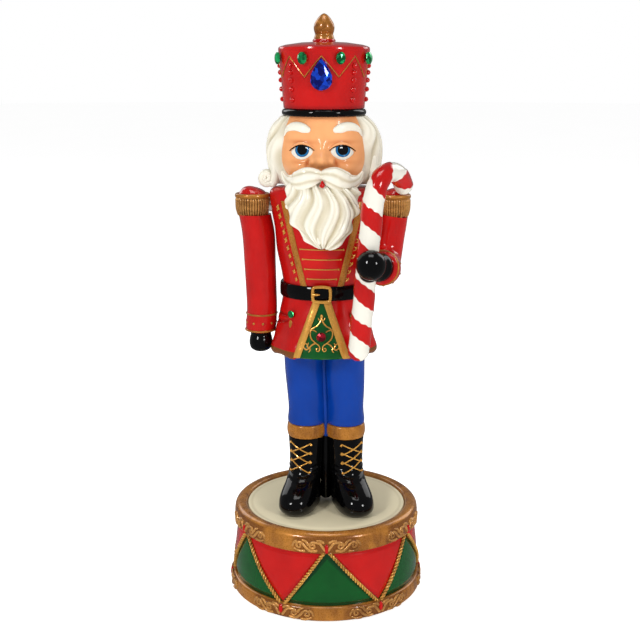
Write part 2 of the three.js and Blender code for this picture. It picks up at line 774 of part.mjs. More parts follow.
function buckle() {
  const backY = frontOf(COAT_RINGS, 0, beltMiddleZ) - 2 * GAP - BELT_THICKNESS;
  const frontY = backY - BUCKLE_THICKNESS;
  const half = [BUCKLE_WIDTH / 2, BUCKLE_HEIGHT / 2];
  const inside = half.map((v) => v - BUCKLE_BAR);
  const frame = cut(
    box([-half[0], frontY, beltMiddleZ - half[1]], [half[0], backY, beltMiddleZ + half[1]]),
    box([-inside[0], frontY - 1, beltMiddleZ - inside[1]], [inside[0], backY + 1, beltMiddleZ + inside[1]]),
  );
  const prong = box(
    [-inside[0] - 1, frontY + 0.2, beltMiddleZ - 0.8],
    [inside[0] + 1, backY - 0.2, beltMiddleZ + 0.8],
  );
  return joined(frame, prong);
}

// A cut stone that sits on the front of the coat.
function coatGem(radius, x, z) {
  const y = frontOf(COAT_RINGS, x, z) - GAP;
  const [w, d, centreY] = sectionAt(COAT_RINGS, z);
  const turn = Math.atan2(x / w ** 2, -(y - centreY) / d ** 2);
  const flat = 0.45;
  const slack = 0.35; // clears the slope of the skirt behind the stone
  const stone = new THREE.SphereGeometry(radius, 10, 6);
  stone.scale(1, flat, 1).translate(0, -radius * flat - slack, 0).rotateZ(turn);
  return stone.translate(x, y, z);
}

add("coat", coat(), redGloss, torso);
add("belt", belt(), blackGloss, torso);
add("belt_buckle", buckle(), goldPaint, torso);
add("apron_gem", coatGem(APRON_GEM_RADIUS, 0, APRON_GEM_Z), redGem, torso);
add("right_coat_gem", coatGem(COAT_GEM_RADIUS, -COAT_GEM_X, COAT_GEM_Z), greenGem, torso);
add("left_coat_gem", coatGem(COAT_GEM_RADIUS, COAT_GEM_X, COAT_GEM_Z), greenGem, torso);

// ---- Mechanism ----------------------------------------------------------------------------------

const hipBottomZ = TROUSER_TOP_Z + GAP;
const hipTopZ = hipBottomZ + HIP_PLATE_THICKNESS;
const gearboxBottomZ = GEARBOX_TOP_Z - GEARBOX_SIZE[2];
const socketDepth = 6;

function hipPlate() {
  const [w, d, y] = sectionAt(COAT_RINGS, hipTopZ);
  const inset = COAT_WALL + 2 * GAP;
  const plate = stack([
    [hipBottomZ, w - inset, d - inset, y],
    [hipTopZ, w - inset, d - inset, y],
  ]);
  return cut(plate, leadBore(hipBottomZ, hipTopZ).translate(-FIGURE_X, 0, 0));
}

function gearbox() {
  const half = GEARBOX_SIZE.map((v) => v / 2);
  const body = box([-half[0], -half[1], gearboxBottomZ], [half[0], half[1], GEARBOX_TOP_Z]);
  const post = box([-half[0], -5, hipTopZ + GAP], [-half[0] + 8, 5, gearboxBottomZ + 1]);
  const sockets = [-1, 1].map((side) => {
    const from = side * (half[0] - socketDepth);
    return rod(shaftHole, [from, 0, SHOULDER_Z], [side * (half[0] + 1), 0, SHOULDER_Z]);
  });
  const neckSocket = rod(spindleHole, [0, 0, GEARBOX_TOP_Z - socketDepth], [0, 0, GEARBOX_TOP_Z + 1]);
  return cut(joined(body, post), ...sockets, neckSocket);
}

const motorTopZ = gearboxBottomZ - GAP;
const motorBottomZ = motorTopZ - MOTOR_LENGTH;

function motor() {
  const can = rod(MOTOR_RADIUS, [MOTOR_X, 0, motorBottomZ], [MOTOR_X, 0, motorTopZ], 24);
  const cap = rod(MOTOR_RADIUS * 0.4, [MOTOR_X, 0, motorBottomZ - 1.5], [MOTOR_X, 0, motorBottomZ + 1]);
  return joined(can, cap);
}

// The wires from the sound board, up through the left leg, to the motor.
function motorLead() {
  const boardTop = BOARD_CENTRE[2] + BOARD_SIZE[2] / 2 + 4 * GAP - lift;
  const route = new THREE.CatmullRomCurve3(
    [
      [BOARD_CENTRE[0] - 1, BOARD_CENTRE[1], boardTop + LEAD_RADIUS],
      [BOARD_CENTRE[0] + 4, BOARD_CENTRE[1] - 3, 26 - lift],
      [-8, 8, 32 - lift],
      [LEG_X - 2, 1, 38],
      [LEG_X, 0, 50],
      [LEG_X, 0, 110],
      [LEG_X, 0, TROUSER_TOP_Z],
      [LEG_X, 0, hipTopZ + 3],
      [FIGURE_X + MOTOR_X + 3, 0, motorBottomZ - 8],
      [FIGURE_X + MOTOR_X, 0, motorBottomZ - 1.5 - 4 * GAP],
    ].map((p) => new THREE.Vector3(...p)),
    false,
    "catmullrom",
    0.3,
  );
  const section = new THREE.Shape();
  section.absarc(0, 0, LEAD_RADIUS, 0, 2 * Math.PI);
  return new THREE.ExtrudeGeometry(section, { steps: 32, curveSegments: 4, extrudePath: route });
}

add("hip_plate", hipPlate(), blackPlastic, torso);
add("gearbox", gearbox(), whitePlastic, torso);
add("motor", motor(), steel, torso);
add("motor_lead", motorLead(), blackPlastic, soldier);

// ---- Head and hat: turn together about Z --------------------------------------------------------

const head = new THREE.Group();
torso.add(head);

const headTopZ = HEAD_RINGS[HEAD_RINGS.length - 1][0];
const bandBottomZ = headTopZ + GAP;
const bandTopZ = bandBottomZ + HAT_BAND_HEIGHT;
const hatBottomZ = bandTopZ + GAP;
const hatEdgeZ = hatBottomZ + HAT_HEIGHT;
const hatTopZ = hatEdgeZ + HAT_DOME;
const spindleTopZ = NECK_Z + 6;

function hatRadiusAt(z) {
  const t = (z - hatBottomZ) / HAT_HEIGHT;
  return HAT_BOTTOM_RADIUS + t * (HAT_TOP_RADIUS - HAT_BOTTOM_RADIUS);
}

function headCore() {
  const nose = ball(NOSE_RADIUS, [0, frontOf(HEAD_RINGS, 0, NOSE_Z), NOSE_Z], 12, 8);
  const socket = rod(SPINDLE_RADIUS + GAP, [0, 0, NECK_Z - 1], [0, 0, spindleTopZ + GAP]);
  return cut(joined(stack(HEAD_RINGS), nose), socket);
}

// The head's outside with room for its neighbour, carried a little past both ends.
function headRoom() {
  const rings = grown(HEAD_RINGS, GAP + 0.1);
  rings[0][0] -= 1;
  rings[rings.length - 1][0] += 1;
  return stack(rings);
}

function hair() {
  const curls = [-1, 1].map((side) => ball(CURL_RADIUS, [side * CURL_X, 0, CURL_Z]));
  const far = 60;
  const front = box([-far, -far, NECK_Z - far], [far, HAIR_FRONT_Y, headTopZ + 1]);
  return cut(joined(stack(HAIR_RINGS), ...curls), headRoom(), front);
}

function neckSpindle() {
  const bottomZ = GEARBOX_TOP_Z - socketDepth + RUNNING_GAP;
  return rod(SPINDLE_RADIUS, [0, 0, bottomZ], [0, 0, spindleTopZ]);
}

function hatBand() {
  const r = HAT_BAND_RADIUS;
  return lathe(
    [
      [0, bandBottomZ],
      [r - 0.8, bandBottomZ],
      [r, bandBottomZ + 1],
      [r, bandTopZ - 1],
      [r - 0.8, bandTopZ],
      [0, bandTopZ],
    ],
    32,
  );
}

function hat() {
  return lathe(
    [
      [0, hatBottomZ],
      [HAT_BOTTOM_RADIUS, hatBottomZ],
      [HAT_TOP_RADIUS, hatEdgeZ],
      [HAT_TOP_RADIUS - 1.4, hatEdgeZ + 1.4],
      [HAT_TOP_RADIUS * 0.6, hatTopZ - 0.6],
      [FINIAL_RADIUS, hatTopZ],
      [0, hatTopZ],
    ],
    32,
  );
}

function finial() {
  const z = hatTopZ + GAP;
  const r = FINIAL_RADIUS;
  return lathe(
    [
      [0, z],
      [r, z],
      [r * 0.88, z + FINIAL_HEIGHT * 0.25],
      [r * 0.98, z + FINIAL_HEIGHT * 0.5],
      [r * 0.75, z + FINIAL_HEIGHT * 0.75],
      [r * 0.35, z + FINIAL_HEIGHT * 0.94],
      [0, z + FINIAL_HEIGHT],
    ],
    LIMB_SIDES,
  );
}

// The pear stone: a round bottom drawn up to a point, flat behind.
function pearGem() {
  const r = PEAR_WIDTH / 2;
  const tip = PEAR_HEIGHT - r;
  const shape = new THREE.Shape();
  shape.absarc(0, 0, r, Math.PI - rad(15), 2 * Math.PI + rad(15), false);
  shape.quadraticCurveTo(r * 0.72, tip * 0.62, 0, tip);
  shape.quadraticCurveTo(-r * 0.72, tip * 0.62, -r * Math.cos(rad(15)), r * Math.sin(rad(15)));
  const stone = new THREE.ExtrudeGeometry(shape, {
    depth: PEAR_THICKNESS - 1,
    bevelThickness: 1,
    bevelSize: 1,
    bevelOffset: -1,
    bevelSegments: 1,
    curveSegments: 6,
  });
  const lean = Math.atan2(HAT_TOP_RADIUS - HAT_BOTTOM_RADIUS, HAT_HEIGHT);
  stone.translate(0, 0, 1 + GAP).rotateX(Math.PI / 2 + lean);
  const middleZ = PEAR_Z + r;
  return stone.translate(0, -hatRadiusAt(middleZ), middleZ);
}

add("neck_spindle", neckSpindle(), whitePlastic, head);
add("head", headCore(), skinGloss, head);
add("hair", hair(), hairIvory, head);
add("beard", cut(stack(BEARD_RINGS), headRoom()), hairIvory, head);
add("hat_band", hatBand(), blackGloss, head);
add("hat", hat(), redGloss, head);
add("hat_finial", finial(), goldPaint, head);
add("pear_gem", pearGem(), blueGem, head);
for (let i = 0; i < PEAK_COUNT; i++) {
  const stone = new THREE.SphereGeometry(1, 10, 5).scale(...GEM_HALF_SIZE);
  const angle = ((i + 0.5) * 360) / PEAK_COUNT;
  const away = hatRadiusAt(GEM_Z) + GEM_HALF_SIZE[1] + 2 * GAP;
  stone.translate(0, -away, GEM_Z).rotateZ(rad(angle));
  add("hat_gem_" + (i + 1), stone, greenGem, head);
}

// ---- Arms: swing about the line through both shoulders ------------------------------------------

const coatShoulder = sectionAt(COAT_RINGS, SHOULDER_Z)[0];
const sideways = new THREE.Vector3(1, 0, 0);

// The middle of an arm: clear of the shoulder of the coat by a running gap on each side of the seam.
function armX(side, halfWidth) {
  return FIGURE_X + side * (coatShoulder + 2 * RUNNING_GAP + halfWidth);
}

const rightArmX = armX(-1, RIGHT_ARM_HALF_WIDTH);
const leftArmX = armX(1, LEFT_ARM_HALF_WIDTH);

function epaulette(x, halfWidth) {
  const w = halfWidth;
  const rings = [
    [EPAULETTE_BOTTOM_Z, w - 0.4, w - 0.2, 0, x],
    [EPAULETTE_TOP_Z - 3.4, w, w + 0.2, 0, x],
    [EPAULETTE_TOP_Z - 1.6, w, w + 0.2, 0, x],
    [EPAULETTE_TOP_Z, w - 1.4, w - 1.2, 0, x],
  ];
  const inside = x - Math.sign(x) * (w + 1);
  return cut(stack(rings), rod(SHAFT_RADIUS + GAP, [inside, 0, SHOULDER_Z], [x, 0, SHOULDER_Z]));
}

function armShaft(x) {
  const side = Math.sign(x);
  const from = FIGURE_X + side * (GEARBOX_SIZE[0] / 2 - socketDepth + RUNNING_GAP);
  return rod(SHAFT_RADIUS, [from, 0, SHOULDER_Z], [x - side * GAP, 0, SHOULDER_Z]);
}

const sleeveTopZ = EPAULETTE_BOTTOM_Z - GAP;

function rightSleeve() {
  const x = rightArmX;
  const z = RIGHT_SLEEVE_BOTTOM_Z;
  const w = RIGHT_ARM_HALF_WIDTH;
  return stack(
    [
      [z, w - 2.3, w - 1.9, 0, x + 4],
      [z + 1.5, w - 1.4, w - 0.9, 0, x + 4.1],
      [z + 13, w - 1.1, w - 0.7, 0, x + 4.9],
      [z + 40, w - 0.7, w - 0.1, 0, x + 4.4],
      [sleeveTopZ - 8, w - 0.4, w + 0.3, 0, x + 2.9],
      [sleeveTopZ, w - 0.3, w + 0.1, 0, x + 1],
    ],
    LIMB_SIDES,
  );
}

function rightHand() {
  const z = RIGHT_SLEEVE_BOTTOM_Z - GAP;
  const x = rightArmX + 4.1;
  const r = RIGHT_HAND_RADIUS;
  return stack(
    [
      [z - RIGHT_HAND_LENGTH, r * 0.35, r * 0.4, -1, x],
      [z - RIGHT_HAND_LENGTH + 1, r * 0.7, r * 0.75, -1, x],
      [z - RIGHT_HAND_LENGTH * 0.68, r * 0.95, r, -1, x],
      [z - RIGHT_HAND_LENGTH * 0.4, r, r * 1.05, -0.6, x],
      [z - 2, r * 0.9, r * 0.95, 0, x],
      [z, r * 0.75, r * 0.8, 0, x],
    ],
    LIMB_SIDES,
  );
}

const wrist = new THREE.Vector3(...WRIST);
const toHand = new THREE.Vector3(...LEFT_HAND).sub(wrist).normalize();

// A point on the line from the wrist to the hand, that far past the wrist.
function pastWrist(distance) {
  return wrist.clone().addScaledVector(toHand, distance).toArray();
}

function leftSleeve() {
  const x = leftArmX;
  const w = LEFT_ARM_HALF_WIDTH;
  return limb(
    [
      [x - 1.2, 0, sleeveTopZ, w - 0.4, w - 0.1],
      [x - 1.2, 0, sleeveTopZ - 2, w - 0.4, w],
      [x - 2.2, 0, sleeveTopZ - 8, w - 0.5, w + 0.3],
      [x - 3.3, -0.5, 221, w - 0.6, w + 0.4],
      [x - 4.4, -3.5, 213.8, w - 0.5, w + 0.4],
      [x - 5.1, -9.5, 210.2, w - 0.3, w + 0.4],
      [x - 5.9, -17, 210, w - 0.1, w + 0.2],
      [x - 6.9, -25, 211.4, w, w + 0.1],
      [...pastWrist(-3), w],
      [...pastWrist(-1), w],
      [...pastWrist(0), w - 0.7],
    ],
    sideways,
  );
}

// A point given from the middle of the left hand.
function fromHand(offset) {
  return new THREE.Vector3(...LEFT_HAND).add(new THREE.Vector3(...offset));
}

// The stick and its hook over the shoulder, with a rounded end at each when it is the cane itself.
function caneStations(room, rounded) {
  const stick = CANE_STICK.map(fromHand);
  const hook = CANE_HOOK.map(fromHand);
  const path = [
    ...stick.map((p) => [...p.toArray(), CANE_RADIUS + room]),
    ...hook.map((p) => [...p.toArray(), HOOK_RADIUS + room]),
  ];
  if (!rounded) return path;
  const down = stick[0].clone().sub(stick[1]).normalize();
  const over = hook[hook.length - 1].clone().sub(hook[hook.length - 2]).normalize();
  const foot = roundEnd(stick[0], down, CANE_RADIUS).reverse();
  return [...foot, ...path, ...roundEnd(hook[hook.length - 1], over, HOOK_RADIUS, 3)];
}

const acrossHook = fromHand(CANE_HOOK[4]).sub(fromHand(CANE_HOOK[0])).setZ(0).normalize();
acrossHook.applyAxisAngle(new THREE.Vector3(0, 0, 1), Math.PI / 2);

function candyCane() {
  return limb(caneStations(0, true), acrossHook);
}

function leftHand() {
  const r = LEFT_HAND_RADIUS;
  const palm = limb(
    [
      [...pastWrist(2 * GAP), 7.6],
      [...pastWrist(6), 8],
      [...pastWrist(13), 7],
    ],
    new THREE.Vector3(0, 0, 1),
  );
  const fingers = ball(r * 0.8, fromHand([-8, 4.5, -4.6]).toArray());
  const grip = limb(caneStations(GAP, false), acrossHook);
  return cut(joined(ball(r, LEFT_HAND), palm, fingers), grip);
}

const rightArm = new THREE.Group();
const leftArm = new THREE.Group();
soldier.add(rightArm, leftArm);
add("right_arm_shaft", armShaft(rightArmX), whitePlastic, rightArm);
add("right_epaulette", epaulette(rightArmX, RIGHT_ARM_HALF_WIDTH), goldPaint, rightArm);
add("right_sleeve", rightSleeve(), redGloss, rightArm);
add("right_hand", rightHand(), blackGloss, rightArm);
add("left_arm_shaft", armShaft(leftArmX), whitePlastic, leftArm);
add("left_epaulette", epaulette(leftArmX, LEFT_ARM_HALF_WIDTH), goldPaint, leftArm);
add("left_sleeve", leftSleeve(), redGloss, leftArm);
add("left_hand", leftHand(), blackGloss, leftArm);
add("candy_cane", candyCane(), caneWhite, leftArm);

export default figure;
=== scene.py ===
"""Looks of a musical nutcracker soldier on a drum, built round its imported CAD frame.

Lengths in the builders are millimetres, which `piece` turns to metres. The figure faces -Y, and left
and right are its own. Heights and places come from the boxes of the CAD nodes.
"""

import math

import bmesh
import bpy
import numpy as np
from bpy.props import FloatProperty, FloatVectorProperty, IntProperty, PointerProperty
from mathutils import Euler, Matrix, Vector


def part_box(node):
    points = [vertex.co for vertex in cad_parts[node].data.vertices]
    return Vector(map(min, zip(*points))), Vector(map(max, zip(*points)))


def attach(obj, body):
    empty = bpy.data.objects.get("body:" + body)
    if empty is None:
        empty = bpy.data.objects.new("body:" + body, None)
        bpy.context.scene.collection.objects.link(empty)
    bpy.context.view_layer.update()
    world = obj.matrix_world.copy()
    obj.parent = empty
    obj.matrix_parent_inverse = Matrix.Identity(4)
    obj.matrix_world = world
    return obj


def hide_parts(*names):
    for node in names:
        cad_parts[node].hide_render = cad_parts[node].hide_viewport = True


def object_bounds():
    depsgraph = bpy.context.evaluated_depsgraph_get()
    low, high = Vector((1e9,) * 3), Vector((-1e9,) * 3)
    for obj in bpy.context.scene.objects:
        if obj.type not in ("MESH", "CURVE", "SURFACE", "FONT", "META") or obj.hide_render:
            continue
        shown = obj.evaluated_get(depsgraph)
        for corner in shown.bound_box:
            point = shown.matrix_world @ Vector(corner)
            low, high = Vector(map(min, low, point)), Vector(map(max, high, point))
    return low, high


bl_info = {
    "name": "Nutcracker soldier",
    "version": (1, 0, 0),
    "blender": (4, 5, 0),
    "location": "3D View > Sidebar > Nutcracker",
    "description": "Builds the painted resin looks of a musical nutcracker soldier",
    "category": "Object",
}

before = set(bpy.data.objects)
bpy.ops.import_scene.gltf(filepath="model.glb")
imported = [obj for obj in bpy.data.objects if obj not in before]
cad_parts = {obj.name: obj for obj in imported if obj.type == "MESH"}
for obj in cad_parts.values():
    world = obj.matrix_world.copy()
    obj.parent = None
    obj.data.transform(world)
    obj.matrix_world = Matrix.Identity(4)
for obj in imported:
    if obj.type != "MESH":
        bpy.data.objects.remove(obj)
CAD_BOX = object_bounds()
MM = 0.001
TAU = 2 * math.pi
FIGURE_X = -1.5  # the coat and head stand this far off the drum's middle
LEG_X = 12.2  # from the middle to each boot's middle
LEG_GAP = 0.15  # each leg stays this far on its own side of the middle
HIP_Z = 148  # the legs' middles have drawn together by this height


BOXES = {node: [np.array(corner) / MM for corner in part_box(node)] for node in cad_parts}


def low(node):
    """Lowest corner of a CAD node, in millimetres."""
    return BOXES[node][0]


def high(node):
    """Highest corner of a CAD node, in millimetres."""
    return BOXES[node][1]


def middle(node):
    return (low(node) + high(node)) / 2


# ---- Sizes and colours ---------------------------------------------------------------------------


def paint_colour(name, description, red, green, blue):
    """A colour property whose default is given in 8-bit sRGB."""
    values = [v / 255 for v in (red, green, blue)]
    linear = [v / 12.92 if v < 0.04045 else ((v + 0.055) / 1.055) ** 2.4 for v in values]
    return FloatVectorProperty(
        name=name, description=description, subtype="COLOR", size=3, min=0, max=1, default=linear
    )


def length(name, description, millimetres):
    return FloatProperty(
        name=name, description=description, default=millimetres * MM, unit="LENGTH", min=0, precision=5
    )


class SoldierSizes(bpy.types.PropertyGroup):
    rope_radius: length("Rope radius", "Outside radius of the drum's twisted ropes", 1.2)
    rope_turn: length("Rope turn", "Length of one turn of the drum's ropes", 4.4)
    hat_bead: length("Hat bead", "Radius of the red beads on the hat", 1.5)
    dot: length("Paint dot", "Radius of the gold dots on laces and piping", 0.62)
    thread: length("Fringe thread", "Radius of one thread of an epaulette", 0.74)
    threads: IntProperty(name="Threads", description="Threads round one epaulette", default=38, min=8)
    piping: length("Piping", "Radius of the thin gold piping on the chest", 0.34)
    lace: length("Lace", "Radius of the boot laces", 0.42)
    stripe_pitch: length("Stripe pitch", "Height from one red stripe of the cane to the next", 21.7)
    stripe_relief: length("Stripe relief", "How far the red stripes stand out", 0.35)


class SoldierColours(bpy.types.PropertyGroup):
    red: paint_colour("Red", "Gloss red of the coat, hat and drum", 186, 16, 14)
    # Dark red: random deeper patches of the red, and painted shade in the hat's groove, round its bottom edge and in
    # the coat's creases.
    dark_red: paint_colour("Dark red", "Red in the creases", 120, 8, 10)
    gold: paint_colour("Gold", "Antique gold paint", 186, 122, 46)
    # Dark gold: brown streaks in the gold and the coat's hem, and painted shade round the hoops' scrolls, between the
    # rope strands and over the epaulette cores.
    dark_gold: paint_colour("Dark gold", "Brown wash over the gold", 112, 62, 20)
    bright_gold: paint_colour("Bright gold", "Gold leaf on the skirt's trims", 226, 168, 78)
    green: paint_colour("Green", "Gloss green of the drum and apron", 6, 78, 28)
    dark_green: paint_colour("Dark green", "Edge of the green panels", 4, 48, 20)
    blue: paint_colour("Blue", "Gloss blue of the trousers", 4, 58, 150)
    black: paint_colour("Black", "Gloss black of boots, belt and gloves", 3, 3, 4)
    cream: paint_colour("Cream", "Drumhead", 240, 229, 194)
    ivory: paint_colour("Ivory", "Hair, beard and brows", 233, 229, 214)
    # Brown paint with painted shade in the grooves of the hair, beard and moustache, and painted shade at the
    # drumhead's edge.
    wash: paint_colour("Wash", "Brown wash in the grooves of the hair", 190, 176, 142)
    skin: paint_colour("Skin", "Face", 238, 170, 114)
    # Random warmer patches of the skin, and painted shade beside the nose, in the lid creases, under the eyes, round
    # the head's sides and under the hat.
    blush: paint_colour("Blush", "Warmer skin in the creases", 204, 116, 66)
    white: paint_colour("White", "White of the cane and eyes", 226, 222, 210)
    iris: paint_colour("Iris", "Blue of the eyes", 40, 122, 178)


# ---- Meshes --------------------------------------------------------------------------------------


def smooth_rows(rows, count):
    """Rows of numbers filled in to count rows along one smooth curve through them all."""
    rows = np.array(rows, float)
    at = np.concatenate([[0], np.cumsum(np.linalg.norm(np.diff(rows[:, :3], axis=0), axis=1))])
    slope = np.gradient(rows, at, axis=0)
    wanted = np.linspace(0, at[-1], count)
    i = np.clip(np.searchsorted(at, wanted, side="right") - 1, 0, len(at) - 2)
    step = (at[i + 1] - at[i])[:, None]
    u = ((wanted - at[i]) / (at[i + 1] - at[i]))[:, None]
    start = (2 * u**3 - 3 * u**2 + 1) * rows[i] + (u**3 - 2 * u**2 + u) * step * slope[i]
    end = (3 * u**2 - 2 * u**3) * rows[i + 1] + (u**3 - u**2) * step * slope[i + 1]
    return start + end


def smoothstep(edge0, edge1, value):
    t = np.clip((np.asarray(value, float) - edge0) / (edge1 - edge0), 0, 1)
    return t * t * (3 - 2 * t)


def bump(value, centre, width):
    return np.exp(-(((value - centre) / width) ** 2))


def angles(sides):
    """Angles round Z from the front, -Y, towards +X."""
    return np.linspace(0, TAU, sides, endpoint=False)


def level_rings(rows, sides=128, square=1.0):
    """A grid of level rings. Each row is height, half width, half depth, centre y, centre x."""
    a = angles(sides)
    s = np.sign(np.sin(a)) * np.abs(np.sin(a)) ** square
    c = np.sign(np.cos(a)) * np.abs(np.cos(a)) ** square
    rows = np.array(rows, float)
    z, w, d, y, x = (rows[:, k : k + 1] for k in range(5))
    return np.stack([x + w * s, y - d * c, z + 0 * s], axis=-1)


def lathe(profile, sides=192, centre=(0, 0)):
    """A grid turned from (radius, height) points about an upright axis."""
    rows = [[z, r, r, centre[1], centre[0]] for r, z in profile]
    return level_rings(rows, sides)


def smooth_section(points, count):
    """A smooth section through (radius, height) points."""
    return smooth_rows([(r, z, 0) for r, z in points], count)[:, :2]


def hoop_faces(rows, sides):
    """Faces of a closed ring whose section has so many points."""
    return [
        (r * sides + i, r * sides + (i + 1) % sides, q * sides + (i + 1) % sides, q * sides + i)
        for r in range(rows)
        for q in [(r + 1) % rows]
        for i in range(sides)
    ]


def pushed(grid, by):
    """A grid of level rings pushed out across its surface by a grid of distances."""
    along = np.roll(grid, -1, axis=1) - np.roll(grid, 1, axis=1)
    up = np.gradient(grid, axis=0)
    normal = np.cross(along, up)
    normal /= np.maximum(np.linalg.norm(normal, axis=-1, keepdims=True), 1e-9)
    return grid + normal * np.asarray(by)[..., None]


def closed(grid, values=None):
    """Vertices, faces and values of a closed skin over rings, with a pole at each end."""
    rows, sides = grid.shape[:2]
    points = np.vstack([grid.reshape(-1, 3), grid[0].mean(0), grid[-1].mean(0)])
    first, last = rows * sides, rows * sides + 1
    faces = []
    for i in range(sides):
        j = (i + 1) % sides
        for r in range(rows - 1):
            a, b = r * sides, (r + 1) * sides
            faces.append((a + i, a + j, b + j, b + i))
        top = (rows - 1) * sides
        faces.append((first, j, i))
        faces.append((last, top + i, top + j))
    if values is None:
        return points, faces, None
    filled = np.concatenate([np.ravel(values), [np.mean(values[0]), np.mean(values[-1])]])
    return points, faces, filled


def slab(outer, inner, values=None):
    """A closed slab between two open grids of the same size."""
    rows, columns = outer.shape[:2]
    points = np.vstack([outer.reshape(-1, 3), inner.reshape(-1, 3)])
    under = rows * columns
    faces = []
    for r in range(rows - 1):
        for c in range(columns - 1):
            a = r * columns + c
            quad = (a, a + 1, a + columns + 1, a + columns)
            faces.append(quad)
            faces.append(tuple(under + v for v in reversed(quad)))
    edge = [c for c in range(columns)]
    edge += [r * columns + columns - 1 for r in range(1, rows)]
    edge += [(rows - 1) * columns + c for c in range(columns - 2, -1, -1)]
    edge += [r * columns for r in range(rows - 2, 0, -1)]
    for a, b in zip(edge, edge[1:] + edge[:1]):
        faces.append((a, under + a, under + b, b))
    if values is None:
        return points, faces, None
    return points, faces, np.concatenate([np.ravel(values), np.ravel(values)])


def tube(path, radius, sides=10, flat=1.0, aim=None, count=None):
    """A closed round tube along points, with its radius at each point and rounded ends."""
    path = np.array(path, float)
    radii = np.broadcast_to(np.asarray(radius, float), (len(path),))
    rows = smooth_rows(np.column_stack([path, radii]), count or 6 * len(path))
    path, radii = rows[:, :3], np.maximum(rows[:, 3], 0.02)
    ahead = np.gradient(path, axis=0)
    ahead /= np.maximum(np.linalg.norm(ahead, axis=1, keepdims=True), 1e-9)
    side = np.array(aim if aim is not None else (0.31, 0.2, 0.93), float)
    a = np.linspace(0, TAU, sides, endpoint=False)
    cap = [(-0.95, 0.3), (-0.7, 0.72), (-0.35, 0.94)]
    rings = []
    for i, (p, r, t) in enumerate(zip(path, radii, ahead)):
        side = side - t * side.dot(t)
        side /= np.linalg.norm(side)
        across = np.cross(t, side)
        circle = np.outer(np.cos(a), side) * flat + np.outer(np.sin(a), across)
        if i == 0:
            rings += [p + t * r * k + circle * r * s for k, s in cap]
        rings.append(p + circle * r)
        if i == len(path) - 1:
            rings += [p - t * r * k + circle * r * s for k, s in reversed(cap)]
    return closed(np.array(rings))


def ball(centre, radii, sides=24, rows=14):
    """A closed ellipsoid."""
    up = np.linspace(0, math.pi, rows + 2)[1:-1]
    profile = [[-math.cos(u), math.sin(u), math.sin(u), 0, 0] for u in up]
    points, faces, _ = closed(level_rings(profile, sides))
    points[-2:] = [[0, 0, -1], [0, 0, 1]]
    return points * np.array(radii) + np.array(centre), faces, None


def merged(parts):
    """Several (vertices, faces, values) as one."""
    points, faces, values, start = [], [], [], 0
    for p, f, v in parts:
        points.append(p)
        faces += [tuple(start + i for i in face) for face in f]
        values.append(np.zeros(len(p)) if v is None else v)
        start += len(p)
    return np.vstack(points), faces, np.concatenate(values)


def new_mesh(name, shape, value="wash"):
    """A mesh from (vertices, faces, values) in millimetres, its values kept as an attribute."""
    points, faces, values = shape
    mesh = bpy.data.meshes.new(name)
    mesh.from_pydata((np.asarray(points) * MM).tolist(), [], faces)
    if values is not None:
        mesh.attributes.new(value, "FLOAT", "POINT").data.foreach_set("value", np.asarray(values, np.float32))
    return mesh


def piece(name, shape, paint, body, replaces=(), angle=42, value="wash"):
    """A finished piece from (vertices, faces, values) in millimetres, riding on a CAD body."""
    mesh = new_mesh(name, shape, value)
    work = bmesh.new()
    work.from_mesh(mesh)
    bmesh.ops.remove_doubles(work, verts=work.verts, dist=2e-6)
    bmesh.ops.recalc_face_normals(work, faces=work.faces)
    work.to_mesh(mesh)
    work.free()
    mesh.shade_smooth()
    mesh.set_sharp_from_angle(angle=math.radians(angle))
    mesh.materials.append(finish(paint))
    return settle(name, mesh, body, replaces)


def settle(name, mesh, body, replaces=()):
    """The mesh's object, riding on a CAD body, with the nodes it replaces hidden."""
    made = bpy.data.objects.new(name, mesh)
    bpy.context.scene.collection.objects.link(made)
    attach(made, body)
    if replaces:
        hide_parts(*replaces)
    return made


# ---- Geometry Nodes ------------------------------------------------------------------------------


def add_node(tree, kind, settings=None, **inputs):
    """A node with its settings, and its inputs set or linked by name. An underscore is a space."""
    made = tree.nodes.new(kind)
    for key, v in (settings or {}).items():
        setattr(made, key, v)
    for key, v in inputs.items():
        at = int(key[2:]) if key.startswith("in") and key[2:].isdigit() else key.replace("_", " ")
        socket = made.inputs[at]
        if isinstance(v, bpy.types.NodeSocket):
            tree.links.new(v, socket)
        else:
            socket.default_value = v
    return made


def new_geometry_tree(name, **sockets):
    """A geometry tree with a Geometry input, the named inputs, and their group input node."""
    tree = bpy.data.node_groups.new(name, "GeometryNodeTree")
    tree.interface.new_socket("Geometry", in_out="INPUT", socket_type="NodeSocketGeometry")
    for key, kind in sockets.items():
        tree.interface.new_socket(key.replace("_", " "), in_out="INPUT", socket_type="NodeSocket" + kind)
    tree.interface.new_socket("Geometry", in_out="OUTPUT", socket_type="NodeSocketGeometry")
    return tree, tree.nodes.new("NodeGroupInput").outputs


def end_tree(tree, geometry, material):
    real = add_node(tree, "GeometryNodeRealizeInstances", Geometry=geometry)
    painted = add_node(tree, "GeometryNodeSetMaterial", Geometry=real.outputs[0], Material=material)
    add_node(tree, "NodeGroupOutput", in0=painted.outputs[0])
    return tree


